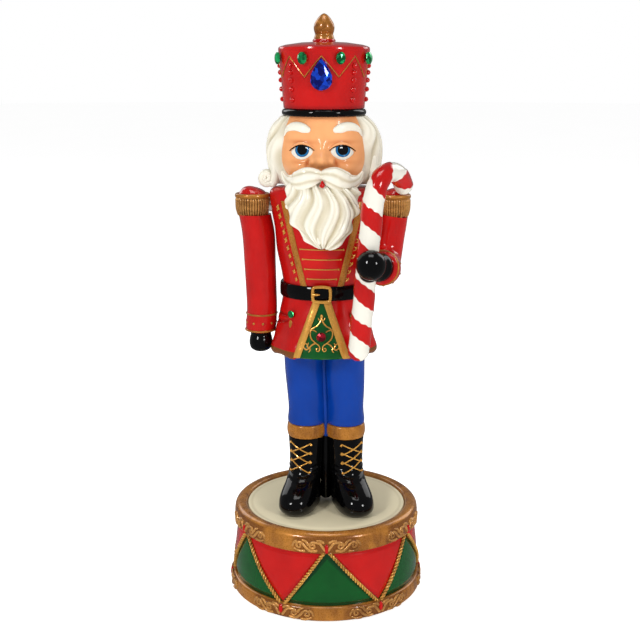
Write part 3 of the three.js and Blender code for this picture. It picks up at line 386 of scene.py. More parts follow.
def copies_tree():
    """Puts a copy of one object on each point, turned and sized by the point's attributes."""
    tree, given = new_geometry_tree("copies_on_points", Copy="Object", Size="Float", Material="Material")
    copy = add_node(tree, "GeometryNodeObjectInfo", Object=given["Copy"])
    turn = add_node(tree, "GeometryNodeInputNamedAttribute", {"data_type": "FLOAT_VECTOR"}, Name="turn")
    scale = add_node(tree, "GeometryNodeInputNamedAttribute", {"data_type": "FLOAT"}, Name="size")
    size = add_node(
        tree, "ShaderNodeMath", {"operation": "MULTIPLY"}, in0=given["Size"], in1=scale.outputs["Attribute"]
    )
    rotation = add_node(tree, "FunctionNodeEulerToRotation", Euler=turn.outputs["Attribute"])
    placed = add_node(
        tree,
        "GeometryNodeInstanceOnPoints",
        Points=given["Geometry"],
        Instance=copy.outputs["Geometry"],
        Rotation=rotation.outputs[0],
        Scale=size.outputs[0],
    )
    return end_tree(tree, placed.outputs[0], given["Material"])


def rope_tree():
    """Winds strands round each line of points, with painted shade where the strands lie near their core line."""
    tree, given = new_geometry_tree(
        "twisted_rope", Radius="Float", Turn="Float", Strands="Int", Material="Material"
    )
    line = add_node(tree, "GeometryNodeMeshToCurve", Mesh=given["Geometry"])
    even = add_node(tree, "GeometryNodeResampleCurve", {"mode": "LENGTH"}, Curve=line.outputs[0], Length=0.0005)
    strands = add_node(
        tree,
        "GeometryNodeDuplicateElements",
        {"domain": "SPLINE"},
        Geometry=even.outputs[0],
        Amount=given["Strands"],
    )
    along = add_node(tree, "GeometryNodeSplineParameter")

    def maths(operation, a, b):
        return add_node(tree, "ShaderNodeMath", {"operation": operation}, in0=a, in1=b).outputs[0]

    share = maths("DIVIDE", strands.outputs["Duplicate Index"], given["Strands"])
    turned = maths("MULTIPLY", maths("ADD", maths("DIVIDE", along.outputs["Length"], given["Turn"]), share), TAU)
    normal = add_node(tree, "GeometryNodeInputNormal")
    tangent = add_node(tree, "GeometryNodeInputTangent")
    away = add_node(
        tree,
        "ShaderNodeVectorRotate",
        {"rotation_type": "AXIS_ANGLE"},
        Vector=normal.outputs[0],
        Axis=tangent.outputs[0],
        Angle=turned,
    )
    offset = add_node(
        tree,
        "ShaderNodeVectorMath",
        {"operation": "SCALE"},
        Vector=away.outputs[0],
        Scale=maths("MULTIPLY", given["Radius"], 0.5),
    )
    wound = add_node(
        tree, "GeometryNodeSetPosition", Geometry=strands.outputs["Geometry"], Offset=offset.outputs[0]
    )
    section = add_node(
        tree, "GeometryNodeCurvePrimitiveCircle", Resolution=7, Radius=maths("MULTIPLY", given["Radius"], 0.56)
    )
    solid = add_node(
        tree,
        "GeometryNodeCurveToMesh",
        Curve=wound.outputs[0],
        Profile_Curve=section.outputs[0],
        Fill_Caps=True,
    )
    smooth = add_node(tree, "GeometryNodeSetShadeSmooth", Geometry=solid.outputs[0], Shade_Smooth=True)
    # Painted shade: strands darken where they lie near the core line, in the crevices between them.
    core = add_node(tree, "GeometryNodeProximity", {"target_element": "EDGES"}, in0=given["Geometry"])
    share = maths("DIVIDE", core.outputs["Distance"], given["Radius"])
    dark = add_node(tree, "ShaderNodeMapRange", in0=share, in1=0.45, in2=0.85, in3=1.0, in4=0.0)
    kept = add_node(
        tree,
        "GeometryNodeStoreNamedAttribute",
        {"data_type": "FLOAT", "domain": "POINT"},
        Geometry=smooth.outputs[0],
        Name="wash",
        Value=dark.outputs[0],
    )
    return end_tree(tree, kept.outputs[0], given["Material"])


def grown(name, source, tree, settings, paint, body, replaces=()):
    """Runs a tree on a source mesh, and keeps its result as a plain mesh riding on a body."""
    bpy.context.scene.collection.objects.link(source)
    modifier = source.modifiers.new("nodes", "NODES")
    modifier.node_group = tree
    settings = settings | {"Material": finish(paint)}
    for item in tree.interface.items_tree:
        if item.in_out == "INPUT" and item.name in settings:
            modifier[item.identifier] = settings[item.name]
    graph = bpy.context.evaluated_depsgraph_get()
    mesh = bpy.data.meshes.new_from_object(source.evaluated_get(graph))
    bpy.data.objects.remove(source)
    mesh.name = name
    return settle(name, mesh, body, replaces)


def copies(name, module, places, paint, body, size=1.0, replaces=()):
    """Copies of a module at places, each (point, Euler turn) or (point, turn, size)."""
    pattern = bpy.data.objects.new(name + "_pattern", new_mesh(name + "_pattern", module))
    pattern.data.shade_smooth()
    mesh = bpy.data.meshes.new(name + "_points")
    mesh.from_pydata([(np.asarray(p[0]) * MM).tolist() for p in places], [], [])
    turns = np.array([tuple(p[1]) for p in places], np.float32).ravel()
    mesh.attributes.new("turn", "FLOAT_VECTOR", "POINT").data.foreach_set("vector", turns)
    sizes = np.array([p[2] if len(p) > 2 else 1.0 for p in places], np.float32)
    mesh.attributes.new("size", "FLOAT", "POINT").data.foreach_set("value", sizes)
    source = bpy.data.objects.new(name + "_points", mesh)
    tree = bpy.data.node_groups.get("copies_on_points") or copies_tree()
    made = grown(name, source, tree, {"Copy": pattern, "Size": size}, paint, body, replaces)
    bpy.data.objects.remove(pattern)
    return made


def facing(direction, roll=0.0):
    """The turn that points a module's -Y along a direction, rolled about it."""
    aim = Vector(direction).to_track_quat("-Y", "Z")
    return (aim @ Euler((0, roll, 0)).to_quaternion()).to_euler()


# ---- Finishes ------------------------------------------------------------------------------------


def shader(name, roughness, metallic=0.0, coat=0.0, coat_roughness=0.05, specular=0.25):
    """A new material, its tree, its Principled node and its Object coordinates."""
    material = bpy.data.materials.new(name)
    material.use_nodes = True
    tree = material.node_tree
    surface = tree.nodes["Principled BSDF"]
    surface.inputs["Roughness"].default_value = roughness
    surface.inputs["Metallic"].default_value = metallic
    surface.inputs["Coat Weight"].default_value = coat
    surface.inputs["Coat Roughness"].default_value = coat_roughness
    surface.inputs["Specular IOR Level"].default_value = specular
    place = add_node(tree, "ShaderNodeTexCoord").outputs["Object"]
    return material, tree, surface, place


def noise(tree, place, scale, detail=3.0, stretch=(1, 1, 1)):
    moved = add_node(tree, "ShaderNodeMapping", Vector=place, Scale=stretch)
    made = add_node(tree, "ShaderNodeTexNoise", Vector=moved.outputs[0], Scale=scale, Detail=detail)
    return made.outputs[0]


def ranged(tree, value, low_in, high_in, low_out, high_out):
    made = add_node(tree, "ShaderNodeMapRange", in0=value, in1=low_in, in2=high_in, in3=low_out, in4=high_out)
    return made.outputs[0]


def mixed(tree, share, a, b):
    """A colour between two colours or colour sockets."""
    made = tree.nodes.new("ShaderNodeMix")
    made.data_type = "RGBA"
    tree.links.new(share, made.inputs[0])
    for socket, colour in ((made.inputs[6], a), (made.inputs[7], b)):
        if isinstance(colour, bpy.types.NodeSocket):
            tree.links.new(colour, socket)
        else:
            socket.default_value = (*colour, 1)
    return made.outputs[2]


def attribute(tree, name):
    return add_node(tree, "ShaderNodeAttribute", {"attribute_name": name}).outputs["Fac"]


def uneven(tree, surface, place, scale, height, roughness, spread):
    """Small waves of brushed paint in the surface and its gloss."""
    waves = noise(tree, place, scale, 2.0)
    lifted = add_node(tree, "ShaderNodeBump", Strength=0.6, Distance=height * MM, Height=waves)
    tree.links.new(lifted.outputs[0], surface.inputs["Normal"])
    tree.links.new(
        ranged(tree, noise(tree, place, scale * 3, 3.0), 0.3, 0.7, roughness - spread, roughness + spread),
        surface.inputs["Roughness"],
    )


def painted(name, colour, deep, roughness=0.2, coat=0.5, wash=None, height=0.12):
    """Gloss paint on cast resin: a little uneven, deeper in tone here and there, and darker where the mesh's
    attribute asks: painted shade in the face's creases, the hat's groove and the drumhead's edge, and brown paint
    with painted shade in the grooves of the hair and beard.
    """
    material, tree, surface, place = shader(name, roughness, coat=coat)
    patches = ranged(tree, noise(tree, place, 55.0), 0.35, 0.75, 0.0, 0.35)
    tone = mixed(tree, patches, colour, deep)
    if wash is not None:
        tone = mixed(tree, attribute(tree, "wash"), tone, wash)
    tree.links.new(tone, surface.inputs["Base Color"])
    uneven(tree, surface, place, 160.0, height, roughness, 0.06)
    return material


def gilded(name, colour, deep, roughness=0.34, metallic=0.35, stretch=(1, 1, 3)):
    """Brushed gold paint with brown streaks, and darker where the mesh's attribute asks: painted shade round the
    hoops' scrolls, between the rope strands and over the epaulette cores.
    """
    material, tree, surface, place = shader(name, roughness, metallic, coat=0.5, coat_roughness=0.08)
    streaks = noise(tree, place, 110.0, 3.0, stretch)
    clouds = noise(tree, place, 45.0, 2.0)
    share = add_node(tree, "ShaderNodeMath", {"operation": "MULTIPLY"}, in0=streaks, in1=clouds).outputs[0]
    tone = mixed(tree, ranged(tree, share, 0.16, 0.46, 0.0, 0.85), colour, deep)
    tone = mixed(tree, attribute(tree, "wash"), tone, deep)
    tree.links.new(tone, surface.inputs["Base Color"])
    uneven(tree, surface, place, 420.0, 0.14, roughness, 0.1)
    return material


def moulded(name, colour, roughness, metallic=0.0, grain=900.0):
    """Moulded plastic, rubber or metal of the inner and underside parts."""
    material, tree, surface, place = shader(name, roughness, metallic)
    darker = [v * 0.7 for v in colour]
    speck = ranged(tree, noise(tree, place, grain), 0.35, 0.65, 0.0, 1.0)
    tree.links.new(mixed(tree, speck, colour, darker), surface.inputs["Base Color"])
    uneven(tree, surface, place, grain, 0.03, roughness, 0.08)
    return material


def stone(name, colour, bright):
    """Foil-backed cut stone: random cells go from deep to bright, painted glints standing in for facets catching the
    light.
    """
    material, tree, surface, place = shader(name, 0.06, 0.6, coat=0.6, coat_roughness=0.02)
    cells = add_node(tree, "ShaderNodeTexVoronoi", Vector=place, Scale=430.0, Randomness=0.8)
    facet = add_node(tree, "ShaderNodeSeparateColor", Color=cells.outputs["Color"])
    # Painted reflection: each cell gets its own brightness, as if a facet caught the light.
    painted_glint = ranged(tree, facet.outputs[0], 0.25, 0.95, 0.0, 1.0)
    tree.links.new(mixed(tree, painted_glint, colour, bright), surface.inputs["Base Color"])
    return material


def two_paints(name, key, first, second, edge=0.12, roughness=0.18):
    """Gloss paint in two colours, parted where an attribute crosses zero."""
    material, tree, surface, place = shader(name, roughness, coat=0.5)
    side = ranged(tree, attribute(tree, key), -edge, edge, 0.0, 1.0)
    patches = ranged(tree, noise(tree, place, 55.0), 0.35, 0.75, 0.0, 0.35)
    tones = [mixed(tree, patches, colour, deep) for colour, deep in (first, second)]
    tone = mixed(tree, side, *tones)
    tree.links.new(tone, surface.inputs["Base Color"])
    uneven(tree, surface, place, 160.0, 0.12, roughness, 0.05)
    return material, tree, surface, tone


# The record's material slot that each finish stands for.
SLOTS = {
    **dict.fromkeys(("red", "wall", "coat", "lip_red"), "red_gloss"),
    **dict.fromkeys(("gold", "brown_gold", "leaf_gold", "bright_gold", "rope_gold"), "gold_paint"),
    "cream": "cream_gloss",
    "black": "black_gloss",
    "blue": "blue_gloss",
    "skin": "skin_gloss",
    "ivory": "hair_ivory",
    "eye": "cane_white",
    "cane": "cane_white",
    "blue_stone": "blue_gem",
}
FINISHES = {}


def finish(name):
    """One of the finishes, by name."""
    return FINISHES[name]


def make_finishes(colours):
    c = {key: tuple(getattr(colours, key)) for key in SoldierColours.__annotations__}
    made = FINISHES
    made["red"] = painted("red_paint", c["red"], c["dark_red"], 0.15, 0.6, wash=c["dark_red"])
    made["black"] = painted("black_paint", c["black"], (0.003, 0.003, 0.003), 0.08, 0.0)
    made["blue"] = painted("blue_paint", c["blue"], (0.002, 0.02, 0.16), 0.16, wash=(0.001, 0.01, 0.1))
    made["green"] = painted("green_paint", c["green"], c["dark_green"], 0.15, wash=c["dark_green"])
    made["cream"] = painted("cream_paint", c["cream"], (0.8, 0.72, 0.5), 0.2, 0.2, wash=c["wash"], height=0.08)
    made["ivory"] = painted("ivory_paint", c["ivory"], (0.74, 0.7, 0.58), 0.24, 0.2, wash=c["wash"])
    made["skin"] = painted("skin_paint", c["skin"], c["blush"], 0.2, 0.15, wash=c["blush"])
    made["gold"] = gilded("gold_paint", c["gold"], c["dark_gold"])
    made["brown_gold"] = gilded("brown_gold_paint", c["gold"], c["dark_gold"], 0.3, 0.25, (2, 2, 1))
    made["leaf_gold"] = gilded("leaf_gold_paint", (0.62, 0.3, 0.08), c["dark_gold"], 0.3, 0.4)
    made["bright_gold"] = gilded("bright_gold_paint", c["bright_gold"], c["gold"], 0.2, 0.4, (1, 1, 0.4))
    made["rope_gold"] = gilded("rope_gold_paint", c["bright_gold"], c["dark_gold"], 0.25, 0.3)
    made["lip_red"] = painted("lip_paint", c["red"], c["dark_red"], 0.12, 0.3)
    made["green_stone"] = stone("green_stone", (0.0, 0.11, 0.03), (0.02, 0.55, 0.16))
    made["red_stone"] = stone("red_stone", (0.12, 0.0, 0.005), (0.6, 0.01, 0.03))
    made["blue_stone"] = stone("blue_stone", (0.0, 0.004, 0.16), (0.01, 0.1, 0.95))
    made["black_plastic"] = moulded("black_plastic", (0.012, 0.012, 0.013), 0.45)
    made["white_plastic"] = moulded("white_plastic", (0.68, 0.68, 0.64), 0.42)
    made["rubber"] = moulded("foot_rubber", (0.01, 0.01, 0.01), 0.8, grain=1500.0)
    made["steel"] = moulded("zinc_steel", (0.5, 0.51, 0.53), 0.3, 1.0, 600.0)
    made["cell"] = moulded("cell_jacket", (0.05, 0.055, 0.065), 0.32, 0.3)
    made["board"] = moulded("board_green", (0.01, 0.09, 0.03), 0.45)
    made["wire"] = moulded("wire_sleeve", (0.015, 0.015, 0.015), 0.5)
    made["wall"] = wall_finish(c)
    made["coat"] = coat_finish(c)
    made["cane"] = two_paints(
        "cane_paint", "stripe", (c["white"], (0.75, 0.73, 0.66)), (c["red"], c["dark_red"]), 0.05
    )[0]
    made["eye"] = eye_finish(c)


def wall_finish(c):
    """Red and green triangles, with a dark edge round each green one."""
    material, tree, surface, tone = two_paints(
        "drum_paint", "side", (c["red"], c["dark_red"]), (c["green"], c["dark_green"])
    )
    rim = ranged(tree, attribute(tree, "rim"), 0.0, 1.0, 0.0, 0.85)
    tree.links.new(mixed(tree, rim, tone, c["dark_green"]), surface.inputs["Base Color"])
    return material


def coat_finish(c):
    """Red coat, green apron and a brown-gold hem, with painted shade in the folds."""
    material, tree, surface, tone = two_paints(
        "coat_paint", "apron", (c["red"], c["dark_red"]), (c["green"], c["dark_green"])
    )
    hem = ranged(tree, attribute(tree, "hem"), -0.15, 0.15, 0.0, 1.0)
    tone = mixed(tree, hem, tone, c["dark_gold"])
    fold = ranged(tree, attribute(tree, "fold"), 0.0, 1.0, 0.0, 0.8)
    tree.links.new(mixed(tree, fold, tone, c["dark_red"]), surface.inputs["Base Color"])
    return material


def eye_finish(c):
    """Rings of paint counted outwards from the middle of the iris, in millimetres."""
    material, tree, surface, _ = shader("eye_paint", 0.06, coat=0.3, coat_roughness=0.02)
    ray = attribute(tree, "ray")
    white = mixed(tree, ranged(tree, ray, 4.1, 4.4, 0.0, 1.0), (0.003, 0.03, 0.09), c["white"])
    iris = mixed(tree, ranged(tree, ray, 3.1, 4.3, 0.0, 1.0), c["iris"], (0.004, 0.05, 0.16))
    rim = mixed(tree, ranged(tree, ray, 4.1, 4.35, 0.0, 1.0), iris, white)
    pupil = mixed(tree, ranged(tree, ray, 3.0, 3.25, 0.0, 1.0), (0.001, 0.001, 0.002), rim)
    lash = mixed(tree, attribute(tree, "lash"), pupil, (0.004, 0.003, 0.003))
    tree.links.new(lash, surface.inputs["Base Color"])
    return material


# ---- Drum ----------------------------------------------------------------------------------------

KNOTS = 6  # rope knots round each hoop
PATTERN_TURN = math.radians(3.5)  # the ropes' front knot, from the front towards the figure's left
KNOT_STEP = TAU / KNOTS
BOTTOM_LEAD = math.radians(3.0)  # how far the bottom knots sit past halfway between the top ones


def wall_radius(z):
    """The drum's wall bellies a little above its bottom hoop."""
    wall = high("drum_shell")[0]
    bottom, top = high("bottom_hoop")[2], low("top_hoop")[2]
    t = np.clip((np.asarray(z, float) - bottom) / (top - bottom), 0, 1)
    return wall - 2.1 * t + 1.1 * np.sin(math.pi * np.clip(t, 0, 1)) * (1 - 0.6 * t)


def on_drum(turn, z, radius):
    return np.stack([radius * np.sin(turn), -radius * np.cos(turn), z + 0 * turn], axis=-1)


class NUTCRACKER_OT_drum(bpy.types.Operator):
    """Drum wall with its painted triangles, hoops and drumhead"""

    bl_idname = "nutcracker.drum"
    bl_label = "Drum"

    def execute(self, context):
        self.wall()
        self.hoops()
        self.drumhead()
        return {"FINISHED"}

    def wall(self):
        shell, top, bottom = high("drum_shell"), low("top_hoop")[2], high("bottom_hoop")[2]
        sides, rows = 600, 60
        z = np.linspace(low("drum_shell")[2], shell[2], rows)[:, None]
        a = angles(sides)[None, :]
        t = (z - bottom) / (top - bottom)
        lead = PATTERN_TURN + BOTTOM_LEAD * np.clip(1 - t, 0, 1)
        from_knot = np.abs((a - lead + KNOT_STEP / 2) % KNOT_STEP - KNOT_STEP / 2)
        share = from_knot / (KNOT_STEP / 2)
        span, rise = shell[0] * KNOT_STEP / 2, top - bottom
        side = (1 - t - share) * span * rise / math.hypot(span, rise)
        ends = np.where(side > 0, z - bottom, top - z) + 0 * a
        edge = np.minimum(np.abs(side), ends)
        radius = wall_radius(z) + 0.55 * smoothstep(1.5, 2.7, edge)
        grid = on_drum(a + 0 * z, z, radius)
        rim = np.where(side > 0, 1 - smoothstep(2.2, 2.7, edge), 0)
        inside = on_drum(a, z[:1], 53.0 + 0 * a), on_drum(a, z[-1:], 53.0 + 0 * a)
        rings = np.concatenate([inside[0], grid, inside[1]])
        wrapped = np.concatenate([rings, rings[:1]])
        quads = []
        for r in range(len(rings)):
            for i in range(sides):
                if self.in_slot(wrapped[r, i]):
                    continue
                j, up = (i + 1) % sides, ((r + 1) % len(rings)) * sides
                quads.append((r * sides + i, r * sides + j, up + j, up + i))
        pad = np.zeros((1, sides))
        shape = rings.reshape(-1, 3), quads, np.concatenate([pad, side, pad]).ravel()
        made = piece("drum_wall", shape, "wall", "stand", ["drum_shell"], value="side")
        values = np.concatenate([pad, rim, pad]).ravel()
        made.data.attributes.new("rim", "FLOAT", "POINT").data.foreach_set("value", values.astype(np.float32))

    def in_slot(self, point):
        """True on the wall where the switch's slot is."""
        housing, knob = middle("switch_housing"), high("switch_knob")
        on_back = point[1] > 50 and abs(point[0] - housing[0]) < 4
        return on_back and abs(point[2] - middle("switch_knob")[2]) < (knob - low("switch_knob"))[2] / 2 + 0.7

    def hoops(self):
        outer, z0, z1 = high("top_hoop")[0], low("top_hoop")[2], high("top_hoop")[2]
        lip = high("drumhead")[0] + 0.3
        top = [
            (outer - 2.1, z0), (outer - 0.9, z0 + 0.1), (outer - 0.1, z0 + 1), (outer, z0 + 3), (outer, z1 - 5),
            (outer - 0.5, z1 - 2.4), (outer - 2, z1 - 0.7), (outer - 3.8, z1), (lip + 2.4, z1 - 0.1),
            (lip + 0.8, z1 - 0.6), (lip, z1 - 1.8), (lip, z1 - 4.5),
        ]
        profile = [*smooth_section(top, 44), (outer - 2.1, z1 - 4.5)]
        piece("top_hoop_cast", self.band(profile, PATTERN_TURN), "brown_gold", "stand", ["top_hoop"])
        outer, z0, z1 = high("bottom_hoop")[0], low("bottom_hoop")[2], high("bottom_hoop")[2]
        low_band = [
            (outer - 2.6, z0), (outer - 1.2, z0 + 0.1), (outer - 0.2, z0 + 1), (outer, z0 + 2.6),
            (outer - 0.1, z1 - 3), (outer - 0.5, z1 - 0.9), (outer - 1.6, z1 - 0.1), (outer - 2.6, z1),
        ]
        bottom_band = self.band(smooth_section(low_band, 30), PATTERN_TURN + KNOT_STEP / 2 + BOTTOM_LEAD)
        piece("bottom_hoop_cast", bottom_band, "brown_gold", "stand", ["bottom_hoop"])

    def band(self, profile, lead, sides=240):
        """A closed ring of a section of (radius, height) points, with painted shade on its outside round the scrolls.
        """
        grid = lathe(profile, sides)
        away = np.abs((angles(sides) - lead + KNOT_STEP / 2) % KNOT_STEP - KNOT_STEP / 2) * grid[0, 0, 2].clip(58)
        outside = np.array([r > max(p[0] for p in profile) - 1.2 for r, _ in profile])
        # Painted shade round the raised scrolls at each knot.
        dark = 0.75 * (1 - smoothstep(17, 22, away))[None, :] * outside[:, None]
        return grid.reshape(-1, 3), hoop_faces(len(profile), sides), dark.ravel()

    def drumhead(self):
        radius, z = high("drumhead")[0], high("drumhead")[2]
        rows = [
            (radius, low("drumhead")[2]), (radius, z - 0.7), (radius - 0.5, z - 0.1), (radius - 1.4, z),
            (radius - 2.6, z - 0.35), (radius - 4, z - 0.05), (radius - 8, z), (2, z - 0.1),
        ]
        grid = lathe(rows, 160)
        shade = np.zeros(grid.shape[:2])
        shade[[1, 4], :] = [[0.5], [0.35]]
        piece("drumhead_skin", closed(grid, shade), "cream", "stand", ["drumhead"])


def spiral(x, y, start, end, radius_from, radius_to, steps=9):
    """Points of a flat spiral about (x, y), from one angle to another, in degrees."""
    a = np.radians(np.linspace(start, end, steps))
    r = np.linspace(radius_from, radius_to, steps)
    return [(x + u * math.cos(v), y + u * math.sin(v)) for u, v in zip(r, a)]


def hoop_scroll(radius):
    """One side of the scroll work beside a knot: lines of (distance along the hoop, height)."""
    lines = [
        [(1.2, -1.6), (2.6, 0.2), (4.6, 2.2), (7.0, 2.4), *spiral(8.3, 0.4, 75, -330, 2.0, 0.7)],
        [(6.2, -2.2), (9.4, -2.4), (12.6, -0.4), (15.2, 2.0), *spiral(16.6, 0.4, 100, -250, 1.9, 0.7)],
        [(2.0, 2.6), (3.6, 3.4), (5.6, 3.5)],
        [(11.2, 1.2), (12.4, 2.8), (14.4, 3.5)],
        [(13.6, -2.6), (16.4, -2.7), (19.4, -1.6)],
        [(18.6, 2.4), (20.0, 1.2), (20.6, -0.4)],
    ]
    parts = []
    for side in (-1, 1):
        for line in lines:
            flat = np.array(line)
            path = on_drum(side * flat[:, 0] / radius, flat[:, 1] * 1.12, radius)
            thick = 0.95 * (1 - 0.4 * np.linspace(0, 1, len(path)))
            parts.append(tube(path, thick, 7, count=3 * len(path)))
    return merged(parts)


class NUTCRACKER_OT_drum_ornament(bpy.types.Operator):
    """Scrolls, red drops and twisted ropes round the drum"""

    bl_idname = "nutcracker.drum_ornament"
    bl_label = "Drum ornament"

    def execute(self, context):
        sizes = context.scene.soldier_sizes
        heights = {
            "top": (low("top_hoop")[2] + 4.8, high("top_hoop")[0], 0.0),
            "bottom": (middle("bottom_hoop")[2] - 0.2, high("bottom_hoop")[0], KNOT_STEP / 2 + BOTTOM_LEAD),
        }
        knots = {}
        for name, (z, radius, shift) in heights.items():
            turns = [PATTERN_TURN + i * KNOT_STEP + shift for i in range(KNOTS)]
            knots[name] = turns
            scroll = hoop_scroll(radius + 0.05)
            copies(
                f"{name}_hoop_scrolls", scroll, [((0, 0, z), (0, 0, t)) for t in turns],
                "leaf_gold", "stand",
            )
            drop_z = z - 1.2 if name == "top" else z + 1.4
            drop = ball((0, -radius - 0.1, drop_z), (1.35, 1.15, 3.0), 16, 10)
            copies(
                f"{name}_hoop_drops", drop, [((0, 0, 0), (0, 0, t)) for t in turns],
                "red", "stand",
            )
        self.ropes(knots, sizes)
        return {"FINISHED"}

    def ropes(self, knots, sizes):
        """Each rope runs over the wall from a knot on one hoop to the next on the other."""
        z0, z1 = high("bottom_hoop")[2] - 0.6, low("top_hoop")[2] + 0.6
        points, edges = [], []
        steps = 24
        for turn in knots["top"]:
            for side in (-1, 1):
                t = np.linspace(0, 1, steps)
                lean = 0.05 + 0.9 * t
                z = z1 + (z0 - z1) * t
                around = turn + side * lean * KNOT_STEP / 2 + BOTTOM_LEAD * t
                line = on_drum(around, z, wall_radius(z) + 0.9)
                edges += [(len(points) + i, len(points) + i + 1) for i in range(steps - 1)]
                points += line.tolist()
        mesh = bpy.data.meshes.new("rope_lines")
        mesh.from_pydata((np.array(points) * MM).tolist(), edges, [])
        settings = {"Radius": sizes.rope_radius, "Turn": sizes.rope_turn, "Strands": 2}
        source = bpy.data.objects.new("rope_lines", mesh)
        grown("drum_ropes", source, rope_tree(), settings, "rope_gold", "stand")


# ---- Legs ----------------------------------------------------------------------------------------

TOE_OUT = {"right": math.radians(-13), "left": math.radians(20)}
SIDE = {"right": -1, "left": 1}


def turned(points, angle, x):
    """Points turned about Z and moved along X."""
    c, s = math.cos(angle), math.sin(angle)
    p = np.asarray(points, float)
    return np.stack([p[..., 0] * c - p[..., 1] * s + x, p[..., 0] * s + p[..., 1] * c, p[..., 2]], axis=-1)


BOOT_ROWS = [
    # height, half width, half depth, centre y, toe spread
    [0, 10.4, 20.4, -9.2, 0.3],
    [1.2, 11.6, 22.2, -9.9, 0.36],
    [3.6, 12.4, 23.6, -10.6, 0.42],
    [7.5, 12.4, 23.8, -10.7, 0.44],
    [11.5, 11.9, 22.4, -9.9, 0.42],
    [15, 11.2, 19.4, -7.6, 0.32],
    [18.5, 10.7, 15.2, -4.2, 0.16],
    [22.5, 10.5, 12.4, -1.7, 0.04],
    [28, 10.7, 11.5, -0.5, 0],
    [35, 11.0, 11.7, 0, 0],
    [43.7, 11.5, 12.0, 0, 0],
]


def boot_surface(turn, height, out=0.0):
    """A point on a boot's shaft in its own frame, at a turn from the toe and a height over the sole."""
    rows = np.array(BOOT_ROWS)
    w, d, y = (np.interp(height, rows[:, 0], rows[:, k]) for k in (1, 2, 3))
    return np.array([(w + out) * math.sin(turn), y - (d + out) * math.cos(turn), height])


class NUTCRACKER_OT_boots(bpy.types.Operator):
    """Round-toed boots and their crossed gold laces"""

    bl_idname = "nutcracker.boots"
    bl_label = "Boots"

    def execute(self, context):
        sizes = context.scene.soldier_sizes
        for name in ("right", "left"):
            node = f"{name}_boot"
            foot = low(node)[2]
            leg_x = SIDE[name] * LEG_X
            grid = self.boot_grid(high(node)[2] - foot)
            placed = turned(grid, TOE_OUT[name], leg_x)
            placed[..., 2] += foot
            limit = SIDE[name] * LEG_GAP
            over = placed[..., 0] * SIDE[name] < limit * SIDE[name]
            placed[..., 0] = np.where(over, limit, placed[..., 0])
            piece(f"{name}_boot_cast", closed(placed), "black", "stand", [node])
            self.laces(name, leg_x, foot, sizes)
        return {"FINISHED"}

    def boot_grid(self, height):
        rows = np.array(BOOT_ROWS)
        rows[:, 0] *= height / rows[-1, 0]
        rows = smooth_rows(rows, 72)
        a = angles(128)
        w, d, y, spread = (rows[:, k : k + 1] for k in (1, 2, 3, 4))
        front = np.maximum(np.cos(a), 0)
        x = w * (1 + spread * front**1.5 - 0.35 * spread) * np.sin(a)
        grid = np.stack([x, y - d * np.cos(a), rows[:, :1] + 0 * a], axis=-1)
        z = grid[..., 2]
        crease = 0.35 * np.sin(z * 1.9 + 2.2 * np.cos(a * 2)) * bump(z, 23, 4.5)
        return pushed(grid, crease)

    def laces(self, name, x, foot, sizes):
        """Three crosses up the front of the shaft, with a dot at each end."""
        half, pitch, start = 0.64, 5.8, 23.2
        outward = SIDE[name] * 0.12
        lines, dots = [], []
        for row in range(3):
            z = start + row * pitch
            for side in (-1, 1):
                t = np.linspace(-half, half, 9)
                rise = z + side * t / half * pitch * 0.62 + pitch / 2
                path = [boot_surface(u + outward, h, 0.15) for u, h in zip(t, rise)]
                lines.append(tube(path, sizes.lace / MM, 8))
        for row in range(4):
            for side in (-1, 1):
                spot = boot_surface(side * (half + 0.03) + outward, start + row * pitch - 0.2, 0.1)
                dots.append((spot, (0, 0, 0)))
        shape = merged(lines)
        points = turned(shape[0], TOE_OUT[name], x)
        points[:, 2] += foot
        piece(f"{name}_boot_laces", (points, shape[1], None), "bright_gold", "stand")
        places = [(turned(p, TOE_OUT[name], x) + [0, 0, foot], t) for p, t in dots]
        dot = ball((0, 0, 0), (1, 1, 1), 12, 8)
        copies(f"{name}_boot_eyelets", dot, places, "bright_gold", "stand", size=sizes.dot / MM * 1.25)


